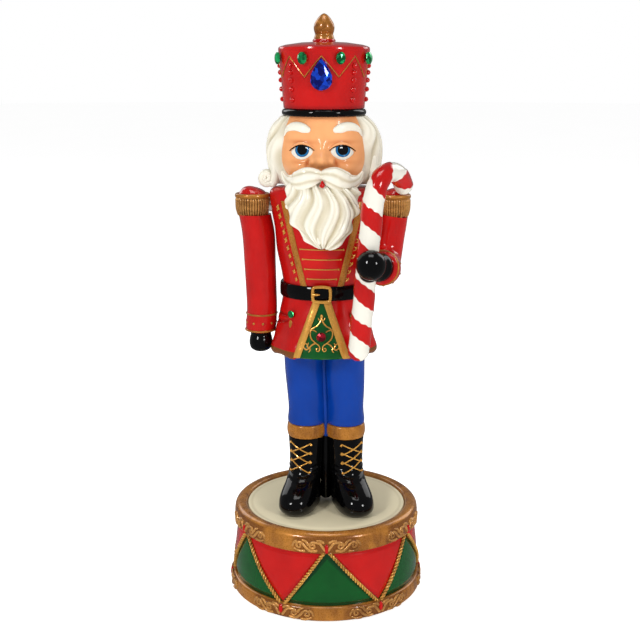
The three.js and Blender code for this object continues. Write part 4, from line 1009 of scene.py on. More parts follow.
class NUTCRACKER_OT_trousers(bpy.types.Operator):
    """Blue trouser legs with gold bands over the boots"""

    bl_idname = "nutcracker.trousers"
    bl_label = "Trousers"

    def execute(self, context):
        for name, side in SIDE.items():
            node = f"{name}_trouser_leg"
            z0, z1 = low(node)[2], high(node)[2]
            band_top = z0 + 8.4
            x0, x1 = side * LEG_X, middle(node)[0]
            band = [
                (z0, 11.0), (z0 + 0.15, 11.8), (z0 + 0.9, 12.05), (band_top - 1, 12.05),
                (band_top - 0.3, 11.85), (band_top, 11.2),
            ]
            rows = [[z, w, w + 0.4, 0, x0] for z, w in band]
            grid = level_rings(smooth_rows(rows, 24), 128)
            piece(
                f"{name}_leg_band", closed(self.parted(grid, side)), "brown_gold",
                "stand",
            )
            leg = [
                [band_top + 0.1, 11.3, 11.5, 0, x0], [band_top + 0.5, 11.75, 12.0, 0, x0],
                [band_top + 2.2, 11.95, 12.3, 0, x0], [band_top + 6, 11.65, 12.0, 0, x0],
                [band_top + 20, 11.8, 12.2, 0, x0 * 0.6 + x1 * 0.4], [HIP_Z, 12.55, 13.1, 0, x1],
                [z1, 12.6, 13.2, 0, x1],
            ]
            grid = level_rings(smooth_rows(leg, 90), 128)
            z, a = grid[..., 2], angles(128)[None, :]
            folds = 0.28 * np.sin(z * 0.16 + 1.4 * np.sin(a * 2 + side)) * np.sin(a * 3 + z * 0.03)
            grid = pushed(grid, folds * smoothstep(band_top, band_top + 12, z))
            split = np.interp(z, [band_top, HIP_Z], [LEG_GAP * side, FIGURE_X + LEG_GAP * side])
            wrong = (grid[..., 0] - split) * side < 0
            grid[..., 0] = np.where(wrong, split, grid[..., 0])
            piece(f"{name}_leg_cast", closed(grid), "blue", "stand", [node])
        self.webs()
        return {"FINISHED"}

    def webs(self):
        """The casting is closed between the legs and between the boots."""
        foot, band, coat = low("right_boot")[2], low("right_trouser_leg")[2], high("right_trouser_leg")[2]
        for name, z0, z1, y, paint in (
            ("boot_web", foot + 3, band, 1.0, "black"),
            ("leg_web", band, coat, 1.5, "blue"),
        ):
            rows = []
            for z in np.linspace(z0, z1, 24):
                x = np.interp(z, [band + 8, HIP_Z], [0, FIGURE_X])
                rows.append([z, 3.4, 6.4, y, x])
            piece(name, closed(level_rings(rows, 48)), paint, "stand")

    def parted(self, grid, side):
        """Keeps one leg's band on its own side of the middle."""
        grid[..., 0] = np.where(grid[..., 0] * side < LEG_GAP, LEG_GAP * side, grid[..., 0])
        return grid


# ---- Coat ----------------------------------------------------------------------------------------

COAT_ROWS = [
    # height over the hem, half width, half depth, centre y
    [0, 31.0, 26.9, -1.5],
    [1.2, 32.0, 27.8, -1.5],
    [10, 30.3, 26.5, -1.2],
    [23, 27.6, 23.6, -0.6],
    [35, 25.2, 21.2, 0],
    [43.5, 25.0, 21.0, 0],
    [51, 26.2, 22.0, 0],
    [63, 28.6, 23.4, 0],
    [77, 29.9, 23.5, 0],
    [86, 31.6, 22.6, 0],
    [92, 32.6, 21.0, 0],
    [95.6, 32.9, 19.4, 0],
    [98.6, 32.2, 18.2, 0],
    [100.4, 30.0, 16.6, 0],
    [101, 25, 14.5, 0],
]
APRON_TOP, APRON_BOTTOM = 33.0, 1.0  # heights over the hem
TRIM_TOP_X, TRIM_BOTTOM_X = 3.6, 15.2
TRIM_HALF_WIDTH = 2.3


def trim_x(height):
    t = (APRON_TOP - height) / (APRON_TOP - APRON_BOTTOM)
    return TRIM_TOP_X + (TRIM_BOTTOM_X - TRIM_TOP_X) * t


def strap_x(height):
    return 11.0 + (height - 43) * (23.0 - 11.0) / 51


def on_coat(x, height, out=0.0, fill=200):
    """Points on the coat's front, from the middle of the coat and over the hem."""
    rows = smooth_rows([[h, w, d, y] for h, w, d, y in COAT_ROWS], fill)
    order = np.argsort(rows[:, 0])
    w, d, y = (np.interp(height, rows[order, 0], rows[order, k]) for k in (1, 2, 3))
    w, d = w + out, d + out
    share = np.clip(np.asarray(x, float) / w, -0.999, 0.999)
    centre = middle("coat")[0]
    z = low("coat")[2] + np.asarray(height, float)
    return np.stack([centre + x + 0 * w, y - d * np.sqrt(1 - share**2), z + 0 * w], axis=-1)


def coat_aim(x, height):
    """The way the coat's front faces at a point."""
    here = on_coat(np.array([x]), np.array([height]))[0]
    right = on_coat(np.array([x + 0.2]), np.array([height]))[0] - here
    up = on_coat(np.array([x]), np.array([height + 0.2]))[0] - here
    aim = np.cross(right, up)
    return aim / np.linalg.norm(aim)


def coat_ribbon(middle_x, heights, half_width, thick, columns=7):
    """A raised band on the coat's front whose middle goes through (middle_x, heights)."""
    across = np.linspace(-1, 1, columns)
    crown = thick * (1 - 0.75 * across**4)
    outer, inner = [], []
    for x, h in zip(middle_x, heights):
        outer.append(on_coat(x + across * half_width, h + 0 * across, crown))
        inner.append(on_coat(x + across * half_width, h + 0 * across, -0.6))
    return slab(np.array(outer), np.array(inner))


class NUTCRACKER_OT_coat(bpy.types.Operator):
    """Coat with its skirt, green apron, hem and gold trims"""

    bl_idname = "nutcracker.coat"
    bl_label = "Coat"

    def execute(self, context):
        rows = smooth_rows([[h, w, d, y, 0] for h, w, d, y in COAT_ROWS], 190)
        grid = level_rings(rows, 280)
        x, h = grid[..., 0].copy(), grid[..., 2].copy()
        front = grid[..., 1] < 0
        apron = np.where(front & (h < 40), trim_x(h) - np.abs(x), -9.0)
        apron = np.where(h < 36, apron, -9.0)
        a = angles(280)[None, :]
        flare = 1 - smoothstep(2, 30, h)
        folds = 0.7 * np.sin(a * 9 + 0.8) * flare * (1 - smoothstep(-1, 3, apron))
        flap = self.flap(x, h, front)
        depth = folds - 0.7 * smoothstep(-0.6, 0.8, apron) + flap
        grid = pushed(grid, depth)
        grid += [middle("coat")[0], 0, low("coat")[2]]
        made = piece("coat_cast", closed(grid, apron), "coat", "stand", ["coat"], value="apron")
        hem = np.where(apron < -1.0, 4.2 - h, -9.0)
        # Painted shade: the skirt is darkened in the dents of its creases.
        fold = np.clip(-flap * 1.6, 0, 1)
        for key, values in (("hem", hem), ("fold", fold)):
            filled = np.concatenate([values.ravel(), [values[0].mean(), values[-1].mean()]])
            data = made.data.attributes.new(key, "FLOAT", "POINT").data
            data.foreach_set("value", filled.astype(np.float32)[: len(data)])
        self.trims()
        return {"FINISHED"}

    def flap(self, x, h, front):
        """Two creases that run from each stone on the skirt round to the side."""
        dent = np.zeros_like(x)
        for side in (-1, 1):
            reach = side * x - 18
            for slope, start in ((-0.02, 24.6), (-0.3, 22.4)):
                near = bump(h, start + slope * reach, 0.8) * smoothstep(1.5, 4, reach) * front
                dent -= 0.7 * near
        return dent

    def trims(self):
        heights = np.linspace(APRON_TOP + 1.2, APRON_BOTTOM, 40)
        for name, side in SIDE.items():
            band = coat_ribbon(side * trim_x(heights), heights, TRIM_HALF_WIDTH, 0.95)
            piece(f"{name}_skirt_trim", band, "bright_gold", "stand")


class NUTCRACKER_OT_coat_ornament(bpy.types.Operator):
    """Straps, piping, scroll marks and the scroll work on the apron"""

    bl_idname = "nutcracker.coat_ornament"
    bl_label = "Coat ornament"

    def execute(self, context):
        sizes = context.scene.soldier_sizes
        self.straps()
        self.strap_marks()
        self.piping(sizes)
        self.filigree()
        self.skirt_leaves()
        return {"FINISHED"}

    def straps(self):
        heights = np.linspace(93.5, 42, 50)
        for name, side in SIDE.items():
            band = coat_ribbon(side * strap_x(heights), heights, 1.9, 0.75)
            piece(f"{name}_chest_strap", band, "brown_gold", "stand")

    def strap_marks(self):
        """Small three-petalled marks down the outside of each strap."""
        petals = []
        for x, z, tip_x, tip_z in ((0, 0, -1.5, 1.2), (0, 0, 0.2, 1.8), (0, -0.2, -1.3, -1.1)):
            line = [(x, 0, z), ((x + tip_x) / 2, -0.35, (z + tip_z) / 2 + 0.15), (tip_x, 0, tip_z)]
            petals.append(tube(np.array(line) * 1.25, [0.55, 0.5, 0.2], 8))
        module = merged(petals)
        for name, side in SIDE.items():
            places = []
            for i, height in enumerate(np.linspace(89, 47, 10)):
                x = side * (strap_x(height) + 4.2 - 0.12 * i)
                spot = on_coat(np.array([x]), np.array([height]), 0.15)[0]
                places.append((spot, facing(coat_aim(x, height), side * 0.25), 1.0 - 0.03 * i))
            copies(f"{name}_strap_marks", module, places, "bright_gold", "stand")

    def piping(self, sizes):
        lines, places = [], []
        for height in (66, 60, 54, 48):
            half = strap_x(height) - 3.6
            x = np.linspace(-half, half, 21)
            lines.append(tube(on_coat(x, height + 0 * x, 0.1), sizes.piping / MM, 8, count=60))
            for side in (-1, 1):
                spot = on_coat(np.array([side * half]), np.array([float(height)]), 0.1)[0]
                places.append((spot, (0, 0, 0)))
        piece("chest_piping", merged(lines), "bright_gold", "stand")
        dot = ball((0, 0, 0), (1, 1, 1), 12, 8)
        copies("chest_piping_dots", dot, places, "bright_gold", "stand", size=sizes.dot / MM)

    def filigree(self):
        """An onion of gold wire round the red stone, on scrolls."""
        gem = middle("apron_gem")[2] - low("coat")[2]
        half_lines = [
            [(0.0, 10.2), (0.7, 8.6), (3.0, 5.9), (6.4, 3.9), (7.3, 1.2), (6.4, -1.6), (3.6, -4.0),
             (1.3, -5.6), (0.9, -7.4), *spiral(2.3, -7.6, 190, 480, 1.3, 0.6, 6)],
            [(6.6, 3.8), (4.6, 3.2), (3.2, 2.4)],
            [(3.8, -4.1), (6.0, -5.2), (7.8, -6.9), (9.8, -8.0), *spiral(10.0, -5.9, 280, 560, 1.9, 0.8, 8)],
            [(7.6, -6.8), (7.2, -8.2), (8.0, -9.2)],
            [(8.4, -7.2), (8.9, -5.6), (8.4, -4.2)],
            [(0.3, 9.4), (1.5, 9.4), (2.2, 10.4)],
        ]
        parts = []
        for side in (-1, 1):
            for line in half_lines:
                flat = np.array(line)
                path = on_coat(side * flat[:, 0] * 0.92, gem + flat[:, 1], -0.35)
                parts.append(tube(path, np.linspace(0.46, 0.3, len(path)), 8, count=4 * len(path)))
        tip = on_coat(np.array([0.0]), np.array([gem + 11.2]), -0.3)[0]
        parts.append(ball(tip, (0.9, 0.6, 1.5), 14, 10))
        piece("apron_filigree", merged(parts), "bright_gold", "stand")

    def skirt_leaves(self):
        """A gold leaf below each green stone, with a small red loop beside it."""
        for name, side in SIDE.items():
            stone_at = middle(f"{name}_coat_gem") - [middle("coat")[0], 0, low("coat")[2]]
            x, h = stone_at[0], stone_at[2] - 6.2
            spot = on_coat(np.array([x]), np.array([h]), 0.1)[0]
            leaf = ball(spot, (1.15, 0.8, 2.6), 16, 12)
            piece(f"{name}_skirt_leaf", leaf, "gold", "stand")
            loop = [(x + side * -2.0, h + 1.6), (x + side * -2.2, h - 0.4), (x + side * -1.9, h - 2.2)]
            flat = np.array(loop)
            bead = tube(on_coat(flat[:, 0], flat[:, 1], 0.05), [0.5, 0.6, 0.4], 8)
            piece(f"{name}_skirt_loop", bead, "red", "stand")


class NUTCRACKER_OT_belt(bpy.types.Operator):
    """Black belt and its gold buckle"""

    bl_idname = "nutcracker.belt"
    bl_label = "Belt"

    def execute(self, context):
        z0, z1 = low("belt")[2] - low("coat")[2], high("belt")[2] - low("coat")[2]
        out = high("belt")[0] - middle("coat")[0] - 25.2
        profile = [
            (z0, -0.8), (z0, out - 0.5), (z0 + 0.6, out), ((z0 + z1) / 2, out + 0.15), (z1 - 0.6, out),
            (z1, out - 0.5), (z1, -0.8),
        ]
        heights = [row[0] for row in COAT_ROWS]
        sides = 200
        rows = []
        for h, o in profile:
            w, d, y = (np.interp(h, heights, [r[k] for r in COAT_ROWS]) for k in (1, 2, 3))
            rows.append([h + low("coat")[2], w + o, d + o, y, middle("coat")[0]])
        grid = level_rings(rows, sides)
        shape = grid.reshape(-1, 3), hoop_faces(len(rows), sides), None
        piece("belt_cast", shape, "black", "stand", ["belt"])
        self.buckle()
        return {"FINISHED"}

    def buckle(self):
        (x0, y0, z0), (x1, _, z1) = low("belt_buckle"), high("belt_buckle")
        cx, cz, hw, hh = (x0 + x1) / 2, (z0 + z1) / 2, (x1 - x0) / 2 - 0.8, (z1 - z0) / 2 - 0.8
        corner = 0.8
        path = []
        for sx, sz, start in ((1, 1, 0), (-1, 1, 90), (-1, -1, 180), (1, -1, 270)):
            for a in np.radians(np.linspace(start, start + 90, 5)):
                path.append((
                    cx + sx * (hw - corner) + corner * math.cos(a), y0 + 0.7,
                    cz + sz * (hh - corner) + corner * math.sin(a),
                ))
        ring = np.array(path + path[:2])
        parts = [tube(ring, 0.95, 10, 0.85, aim=(0, 1, 0), count=120)]
        prong = [(cx - hw, y0 + 0.3, cz), (cx - hw + 2, y0 - 0.1, cz), (cx - hw / 4, y0 + 0.4, cz)]
        parts.append(tube(prong, [0.75, 0.7, 0.4], 10))
        piece("buckle_cast", merged(parts), "bright_gold", "stand", ["belt_buckle"])


# ---- Head ----------------------------------------------------------------------------------------

HEAD_ROWS = [
    [256.4, 10.5, 10.5, 0],
    [258.5, 15.5, 13.2, -0.6],
    [261.5, 20, 16.4, -1.2],
    [265.5, 23.6, 19.4, -1.5],
    [271, 25.8, 21.4, -1.1],
    [277, 26.3, 22.1, -0.6],
    [284, 25.6, 22.2, -0.2],
    [291, 24.2, 22, 0],
    [297.7, 22.8, 21.6, 0],
]
EYE_X, EYE_Z = 11.9, 277.8
EYE_HALF_WIDTH, EYE_HALF_HEIGHT = 6.8, 4.5


def face_relief(x, z, front):
    """How far the painted face stands out of a plain egg, over its front."""
    away = np.abs(x)
    nose = 6.0 * bump(away, 0, 4.3) * bump(z, 274.0, 3.7) + 1.7 * bump(away, 0, 3.2) * bump(z, 281, 5.0)
    wings = 2.3 * bump(away, 6.0, 1.7) * bump(z, 272.4, 2.3)
    socket = -1.5 * bump(away, EYE_X, 7.4) * bump(z, EYE_Z + 0.2, 5.2)
    cheek = 2.3 * bump(away, 14.5, 5.4) * bump(z, 268.8, 4.4)
    brow = 0.9 * bump(away, 14, 8) * bump(z, 289.5, 3.6)
    lid = 0.75 * bump(z, EYE_Z + 5.2 - 0.05 * (away - EYE_X) ** 2, 0.9) * bump(away, EYE_X, 6.5)
    bag = -0.5 * bump(z, EYE_Z - 5.6 + 0.045 * (away - EYE_X) ** 2, 0.8) * bump(away, EYE_X, 5.5)
    fold = -0.9 * bump(away, 8.3 + 0.2 * (272 - z), 0.9) * bump(z, 271.4, 3.0)
    return (nose + wings + socket + cheek + brow + lid + bag + fold) * front


def on_face(x, z, out=0.0):
    """Points on the front of the face, x from its middle, z in the frame."""
    x, z = np.broadcast_arrays(np.asarray(x, float), np.asarray(z, float))
    rows = smooth_rows(HEAD_ROWS, 160)
    w, d, y = (np.interp(z, rows[:, 0], rows[:, k]) for k in (1, 2, 3))
    share = np.clip(x / w, -0.98, 0.98)
    depth = np.sqrt(1 - share**2)
    plain = np.stack([x, y - d * depth, z], axis=-1)
    aim = np.stack([share / w, -depth / d, 0 * x], axis=-1)
    aim /= np.linalg.norm(aim, axis=-1, keepdims=True)
    made = plain + aim * (face_relief(x, z, smoothstep(0.15, 0.6, depth)) + out)[..., None]
    made[..., 0] += middle("head")[0]
    return made


def almond(u, v, side):
    """A point of the eye's opening from a unit disc point: x, z in the face."""
    width = EYE_HALF_WIDTH * u
    tall = EYE_HALF_HEIGHT * np.where(v > 0, 0.86, 1.0) * (1 - 0.12 * u**2)
    return side * EYE_X + width, EYE_Z + tall * v - 0.35 * side * u


class NUTCRACKER_OT_face(bpy.types.Operator):
    """Head with its nose, cheeks, lids and mouth"""

    bl_idname = "nutcracker.face"
    bl_label = "Face"

    def execute(self, context):
        rows = smooth_rows([[*row, 0] for row in HEAD_ROWS], 150)
        grid = level_rings(rows, 260)
        x, z = grid[..., 0], grid[..., 2]
        depth = np.cos(angles(260))[None, :] + 0 * z
        relief = face_relief(x, z, smoothstep(0.15, 0.6, depth))
        shade = 0.75 * bump(np.abs(x), EYE_X, 7.6) * bump(z, EYE_Z + 5.6, 1.3) * (depth > 0)
        shade += 0.8 * bump(np.abs(x), 8.3 + 0.2 * (272 - z), 1.2) * bump(z, 271.4, 3.4) * (depth > 0)
        shade += 0.5 * bump(np.abs(x), EYE_X, 6.5) * bump(z, EYE_Z - 5.8, 1.2) * (depth > 0)
        shade += 0.45 * smoothstep(0.45, 0.15, depth) * (depth > 0) + 0.5 * smoothstep(294, 298, z)
        grid = pushed(grid, relief) + [middle("head")[0], 0, 0]
        piece("head_cast", closed(grid, np.clip(shade, 0, 1)), "skin", "head", ["head"])
        lips = on_face(0.8, 260.3, 0)
        lip_y = low("beard")[1] + 3.0
        heart = [
            ball((lips[0], lip_y, 259.7), (1.6, 1.5, 1.5), 24, 16),
            ball((lips[0], lip_y, 261.1), (0.9, 1.2, 1.3), 20, 12),
        ]
        piece("mouth", merged(heart), "lip_red", "head")
        return {"FINISHED"}


class NUTCRACKER_OT_eyes(bpy.types.Operator):
    """Painted eyes, black lash lines and white brows"""

    bl_idname = "nutcracker.eyes"
    bl_label = "Eyes"

    def execute(self, context):
        for name, side in SIDE.items():
            self.eye(name, side)
            self.lash(name, side)
            self.brow(name, side)
        return {"FINISHED"}

    def eye(self, name, side):
        rings, sides = 34, 72
        r = np.linspace(0, 1, rings)[:, None]
        a = np.linspace(0, TAU, sides, endpoint=False)[None, :]
        u, v = r * np.cos(a), r * np.sin(a)
        x, z = almond(u, v * (1 - 0.25 * u**2), side)
        dome = 1.55 * np.sqrt(np.clip(1 - r**2, 0, 1)) + 0 * a
        outer = on_face(x, z, dome - 0.2)
        iris_x, iris_z = side * EYE_X + 0.3, EYE_Z + 1.35
        ray = np.hypot(x - iris_x, (z - iris_z))
        back = on_face(x, z, -1.6)[-1:]
        grid = np.concatenate([outer, back])
        points = np.vstack([grid.reshape(-1, 3), grid[-1].mean(0)])
        faces = []
        for q in range(rings):
            for i in range(sides):
                j = (i + 1) % sides
                faces.append((q * sides + i, q * sides + j, (q + 1) * sides + j, (q + 1) * sides + i))
        last = rings * sides
        faces += [(last + i, last + (i + 1) % sides, len(points) - 1) for i in range(sides)]
        values = np.concatenate([ray.ravel(), np.full(sides, 9.0), [9.0]])
        made = piece(f"{name}_eye", (points, faces, values), "eye", "head", value="ray")
        lash = np.array([0.0] * len(made.data.vertices), np.float32)
        made.data.attributes.new("lash", "FLOAT", "POINT").data.foreach_set("value", lash)

    def lash(self, name, side):
        """A dark line over the eye, thin at its ends."""
        u = np.linspace(-1.1, 1.1, 15)
        top = np.sqrt(np.clip(1 - (u / 1.12) ** 2, 0, 1))
        x, z = almond(u, top * (1 - 0.2 * u**2) + 0.05, side)
        path = on_face(x, z, 0.25)
        thick = 0.12 + 0.42 * np.sqrt(np.clip(1 - (u / 1.12) ** 2, 0, 1))
        piece(f"{name}_lash_line", tube(path, thick, 8, count=50), "black", "head")
        lid_x, lid_z = almond(u * 0.98, top * (1 - 0.2 * u**2) + 0.3, side)
        roll = tube(on_face(lid_x, lid_z, 0.15), 0.25 + 0.55 * top, 10, count=50)
        piece(f"{name}_upper_lid", roll, "skin", "head")

    def brow(self, name, side):
        rows = np.array([
            # x, z, radius
            (7.9, 290.5, 1.8), (9.4, 291.0, 2.5), (13.4, 292.2, 2.7), (17.6, 291.8, 2.3), (20.8, 289.6, 1.4),
            (22.2, 286.8, 0.5),
        ])
        path = on_face(side * rows[:, 0], rows[:, 1], 0.35)
        shape = tube(path, rows[:, 2], 24, 0.6, aim=(0, 1, 0), count=60)
        piece(f"{name}_brow", shape, "ivory", "head")


def strands(count, wave, u, v, seed):
    """Grooves between strands that run down v across u: 0 on a strand, 1 in a groove."""
    draw = np.random.default_rng(seed)
    phase = draw.uniform(0, TAU, 4)
    bend = wave * np.sin(v * 2.6 + phase[0]) + 0.4 * wave * np.sin(v * 5.7 + phase[1])
    coarse = 0.5 + 0.5 * np.cos((u * count + bend) * TAU + phase[2])
    fine = 0.5 + 0.5 * np.cos((u * count * 2.7 + 1.8 * bend) * TAU + phase[3])
    return 0.7 * coarse**2.2 + 0.3 * fine**2


class NUTCRACKER_OT_beard(bpy.types.Operator):
    """Long wavy beard and thick moustache"""

    bl_idname = "nutcracker.beard"
    bl_label = "Beard"

    def execute(self, context):
        x0, z0 = middle("head")[0], low("beard")[2]
        rows = [
            # height over the tip, half width, half depth, centre y, centre x
            [0.0, 3.6, 2.0, -30.4, 1.6],
            [1.4, 7.2, 3.0, -30.4, 2.2],
            [6.2, 12.6, 4.2, -30.2, 2.8],
            [12.8, 17.0, 4.4, -30.0, 1.8],
            [18, 19.4, 4.8, -29.6, 1.2],
            [24, 20.8, 5.2, -28.4, 0.8],
            [30, 21.0, 5.8, -26.6, 0.4],
            [35, 20.0, 5.8, -24.0, 0],
            [39, 17.8, 4.6, -21.8, 0],
            [42, 14.0, 3.0, -20.6, 0],
        ]
        grid = level_rings(smooth_rows(rows, 150), 300)
        a = angles(300)[None, :] + 0 * grid[..., 2]
        u = np.sin(a) * 0.5
        v = grid[..., 2] / 44
        sweep = u + 0.16 * np.sin(v * 4.6 + 1.9 + 2.4 * u) - 0.2 * (1 - v) ** 2
        groove = strands(5.2, 0.16, sweep, v * 2.4 + 0.8 * u, 3)
        edge = 1.0 * np.sin(grid[..., 2] * 0.62 + np.sign(u) * 1.3) * np.abs(np.sin(a)) ** 3
        grid = pushed(grid, 0.9 - 2.0 * groove + edge) + [x0, 0, z0]
        # The grooves between strands are darker: brown paint and painted shade.
        parts = [closed(grid, np.clip(groove * 0.85, 0, 1))]
        parts += self.curls(x0, z0)
        piece("beard_cast", merged(parts), "ivory", "head", ["beard"])
        for name, side in SIDE.items():
            self.moustache(name, side, x0)
        return {"FINISHED"}

    def curls(self, x0, z0):
        """Locks that curl at the tip and along the edges of the beard."""
        made = []
        for x, y, z, radius, way in (
            (1.6, -32.2, 4.4, 3.2, 1), (9.0, -31.4, 9.6, 2.6, 1), (-13.6, -30.6, 15.0, 2.4, -1),
            (15.2, -29.8, 18.0, 2.4, 1), (-18.4, -28.4, 23.6, 2.3, -1),
        ):
            flat = spiral(0, 0, 200, 200 - 420, radius, radius * 0.25, 12)
            path = [(x0 + x + way * s, y + 0.12 * i, z0 + z + t) for i, (s, t) in enumerate(flat)]
            made.append(tube(path, np.linspace(radius * 0.55, radius * 0.3, len(path)), 12, count=60))
        return made

    def moustache(self, name, side, x0):
        rows = smooth_rows([
            # x, z, out of the face, radius
            (-0.8, 264.0, 7.0, 2.8), (2.6, 264.4, 8.4, 4.8), (7.4, 263.8, 9.0, 6.4), (12.4, 261.8, 8.0, 6.2),
            (17.2, 260.8, 6.2, 4.8), (21.2, 262.4, 4.4, 2.7), (23.8, 266.6, 3.0, 0.6),
        ], 80)
        centre = np.stack([x0 + side * rows[:, 0], 0 * rows[:, 0], rows[:, 1]], axis=-1)
        plain = on_face(np.clip(side * rows[:, 0], -21, 21), np.full(len(rows), 266.0))
        centre[:, 1] = plain[:, 1] * 0.45 + (-19.5) * 0.55 - rows[:, 2]
        ahead = np.gradient(centre, axis=0)
        ahead /= np.linalg.norm(ahead, axis=1, keepdims=True)
        out = np.array([0.0, -1.0, 0.0])
        a = np.linspace(0, TAU, 64, endpoint=False)
        grid, wash = [], []
        for i, (p, r, t) in enumerate(zip(centre, rows[:, 3], ahead)):
            up = np.cross(out, t) * -side
            up /= np.linalg.norm(up)
            groove = 0.5 + 0.5 * np.cos(a * 6 + 3.4 * i / len(rows) * side)
            radius = r * (1 - 0.14 * groove**2)
            grid.append(p + np.outer(np.cos(a) * radius, up) + np.outer(np.sin(a) * radius * 0.85, out))
            # The grooves between strands are darker: brown paint and painted shade.
            wash.append(0.7 * groove**3)
        piece(f"{name}_moustache", closed(np.array(grid), np.array(wash)), "ivory", "head")


class NUTCRACKER_OT_hair(bpy.types.Operator):
    """Ivory hair round the sides and back, with a curl over each shoulder"""

    bl_idname = "nutcracker.hair"
    bl_label = "Hair"

    def execute(self, context):
        x0, z0, z1 = middle("head")[0], low("head")[2] + 0.8, high("head")[2] - 0.1
        rows = smooth_rows([
            # height, half width, half depth, centre y, start of the hair at the temple
            [z0, 29.8, 20.8, 4, 1.30], [z0 + 4, 31.6, 22.6, 4, 1.24], [z0 + 10, 33.2, 24.2, 3.6, 1.2],
            [z0 + 19, 34.2, 25.6, 3, 1.16], [z0 + 28, 33.4, 25.8, 2.2, 1.12], [z0 + 35, 30.2, 25.2, 1.2, 1.08],
            [z1, 24.9, 23.6, 0.4, 1.0],
        ], 100)
        share = np.linspace(0, 1, 260)
        head_rows = smooth_rows(HEAD_ROWS, 160)
        outer, inner, wash = [], [], []
        for z, w, d, y, start in rows:
            a = start + share * (TAU - 2 * start)
            v = (z - z0) / (z1 - z0)
            groove = strands(15, 0.35, share, np.full_like(share, v * 1.6), 11)
            edge = np.minimum(share, 1 - share)
            roll = np.sqrt(np.clip(edge / 0.035, 0, 1))
            hw, hd, hy = (np.interp(z, head_rows[:, 0], head_rows[:, k]) for k in (1, 2, 3))
            inner.append(np.stack([(hw - 0.8) * np.sin(a), hy - (hd - 0.8) * np.cos(a), z + 0 * a], axis=-1))
            out = 0.7 - 1.9 * groove
            full = np.stack([(w + out) * np.sin(a), y - (d + out) * np.cos(a), z + 0 * a], axis=-1)
            outer.append(inner[-1] + (full - inner[-1]) * (0.35 + 0.65 * roll)[:, None])
            # The grooves between strands are darker: brown paint and painted shade.
            wash.append(np.clip(groove, 0, 1) * 0.8)
        shape = slab(np.array(outer) + [x0, 0, 0], np.array(inner) + [x0, 0, 0], np.array(wash))
        parts = [shape]
        for side in (-1, 1):
            parts += self.curl(side, x0)
        piece("hair_cast", merged(parts), "ivory", "head", ["hair"])
        return {"FINISHED"}

    def curl(self, side, x0):
        """A lock that comes down behind the cheek and rolls up outwards over the shoulder."""
        cx, cz = 34.4, 261.0
        outside = [(29.4, 274.0), (29.0, 268.0), (29.2, 262.0), (31.0, 257.8)]
        roll = spiral(cx, cz, 235, 235 + 500, 3.7, 0.8, 16)
        flat = np.array(outside + roll)
        depth = np.concatenate([np.linspace(-3.0, -2.4, 4), np.linspace(-2.4, -4.2, 16)])
        path = np.stack([x0 + side * flat[:, 0], depth, flat[:, 1]], axis=-1)
        thick = np.concatenate([np.linspace(3.0, 2.5, 4), np.linspace(2.3, 1.1, 16)])
        back = ball((x0 + side * cx, 0.4, cz), (5.0, 3.4, 5.0), 24, 14)
        return [tube(path, thick, 16, count=110), back]


# ---- Hat -----------------------------------------------------------------------------------------

PEAKS = 8
PEAK_UP, VALLEY_UP = 30.0, 18.4  # heights over the hat's bottom edge


def hat_radius(z):
    """Radius of the hat's side at a height over its bottom edge."""
    total = high("hat")[2] - low("hat")[2]
    return high("hat")[0] - middle("hat")[0] - 2.7 * (1 - np.asarray(z, float) / (total - 3.3))


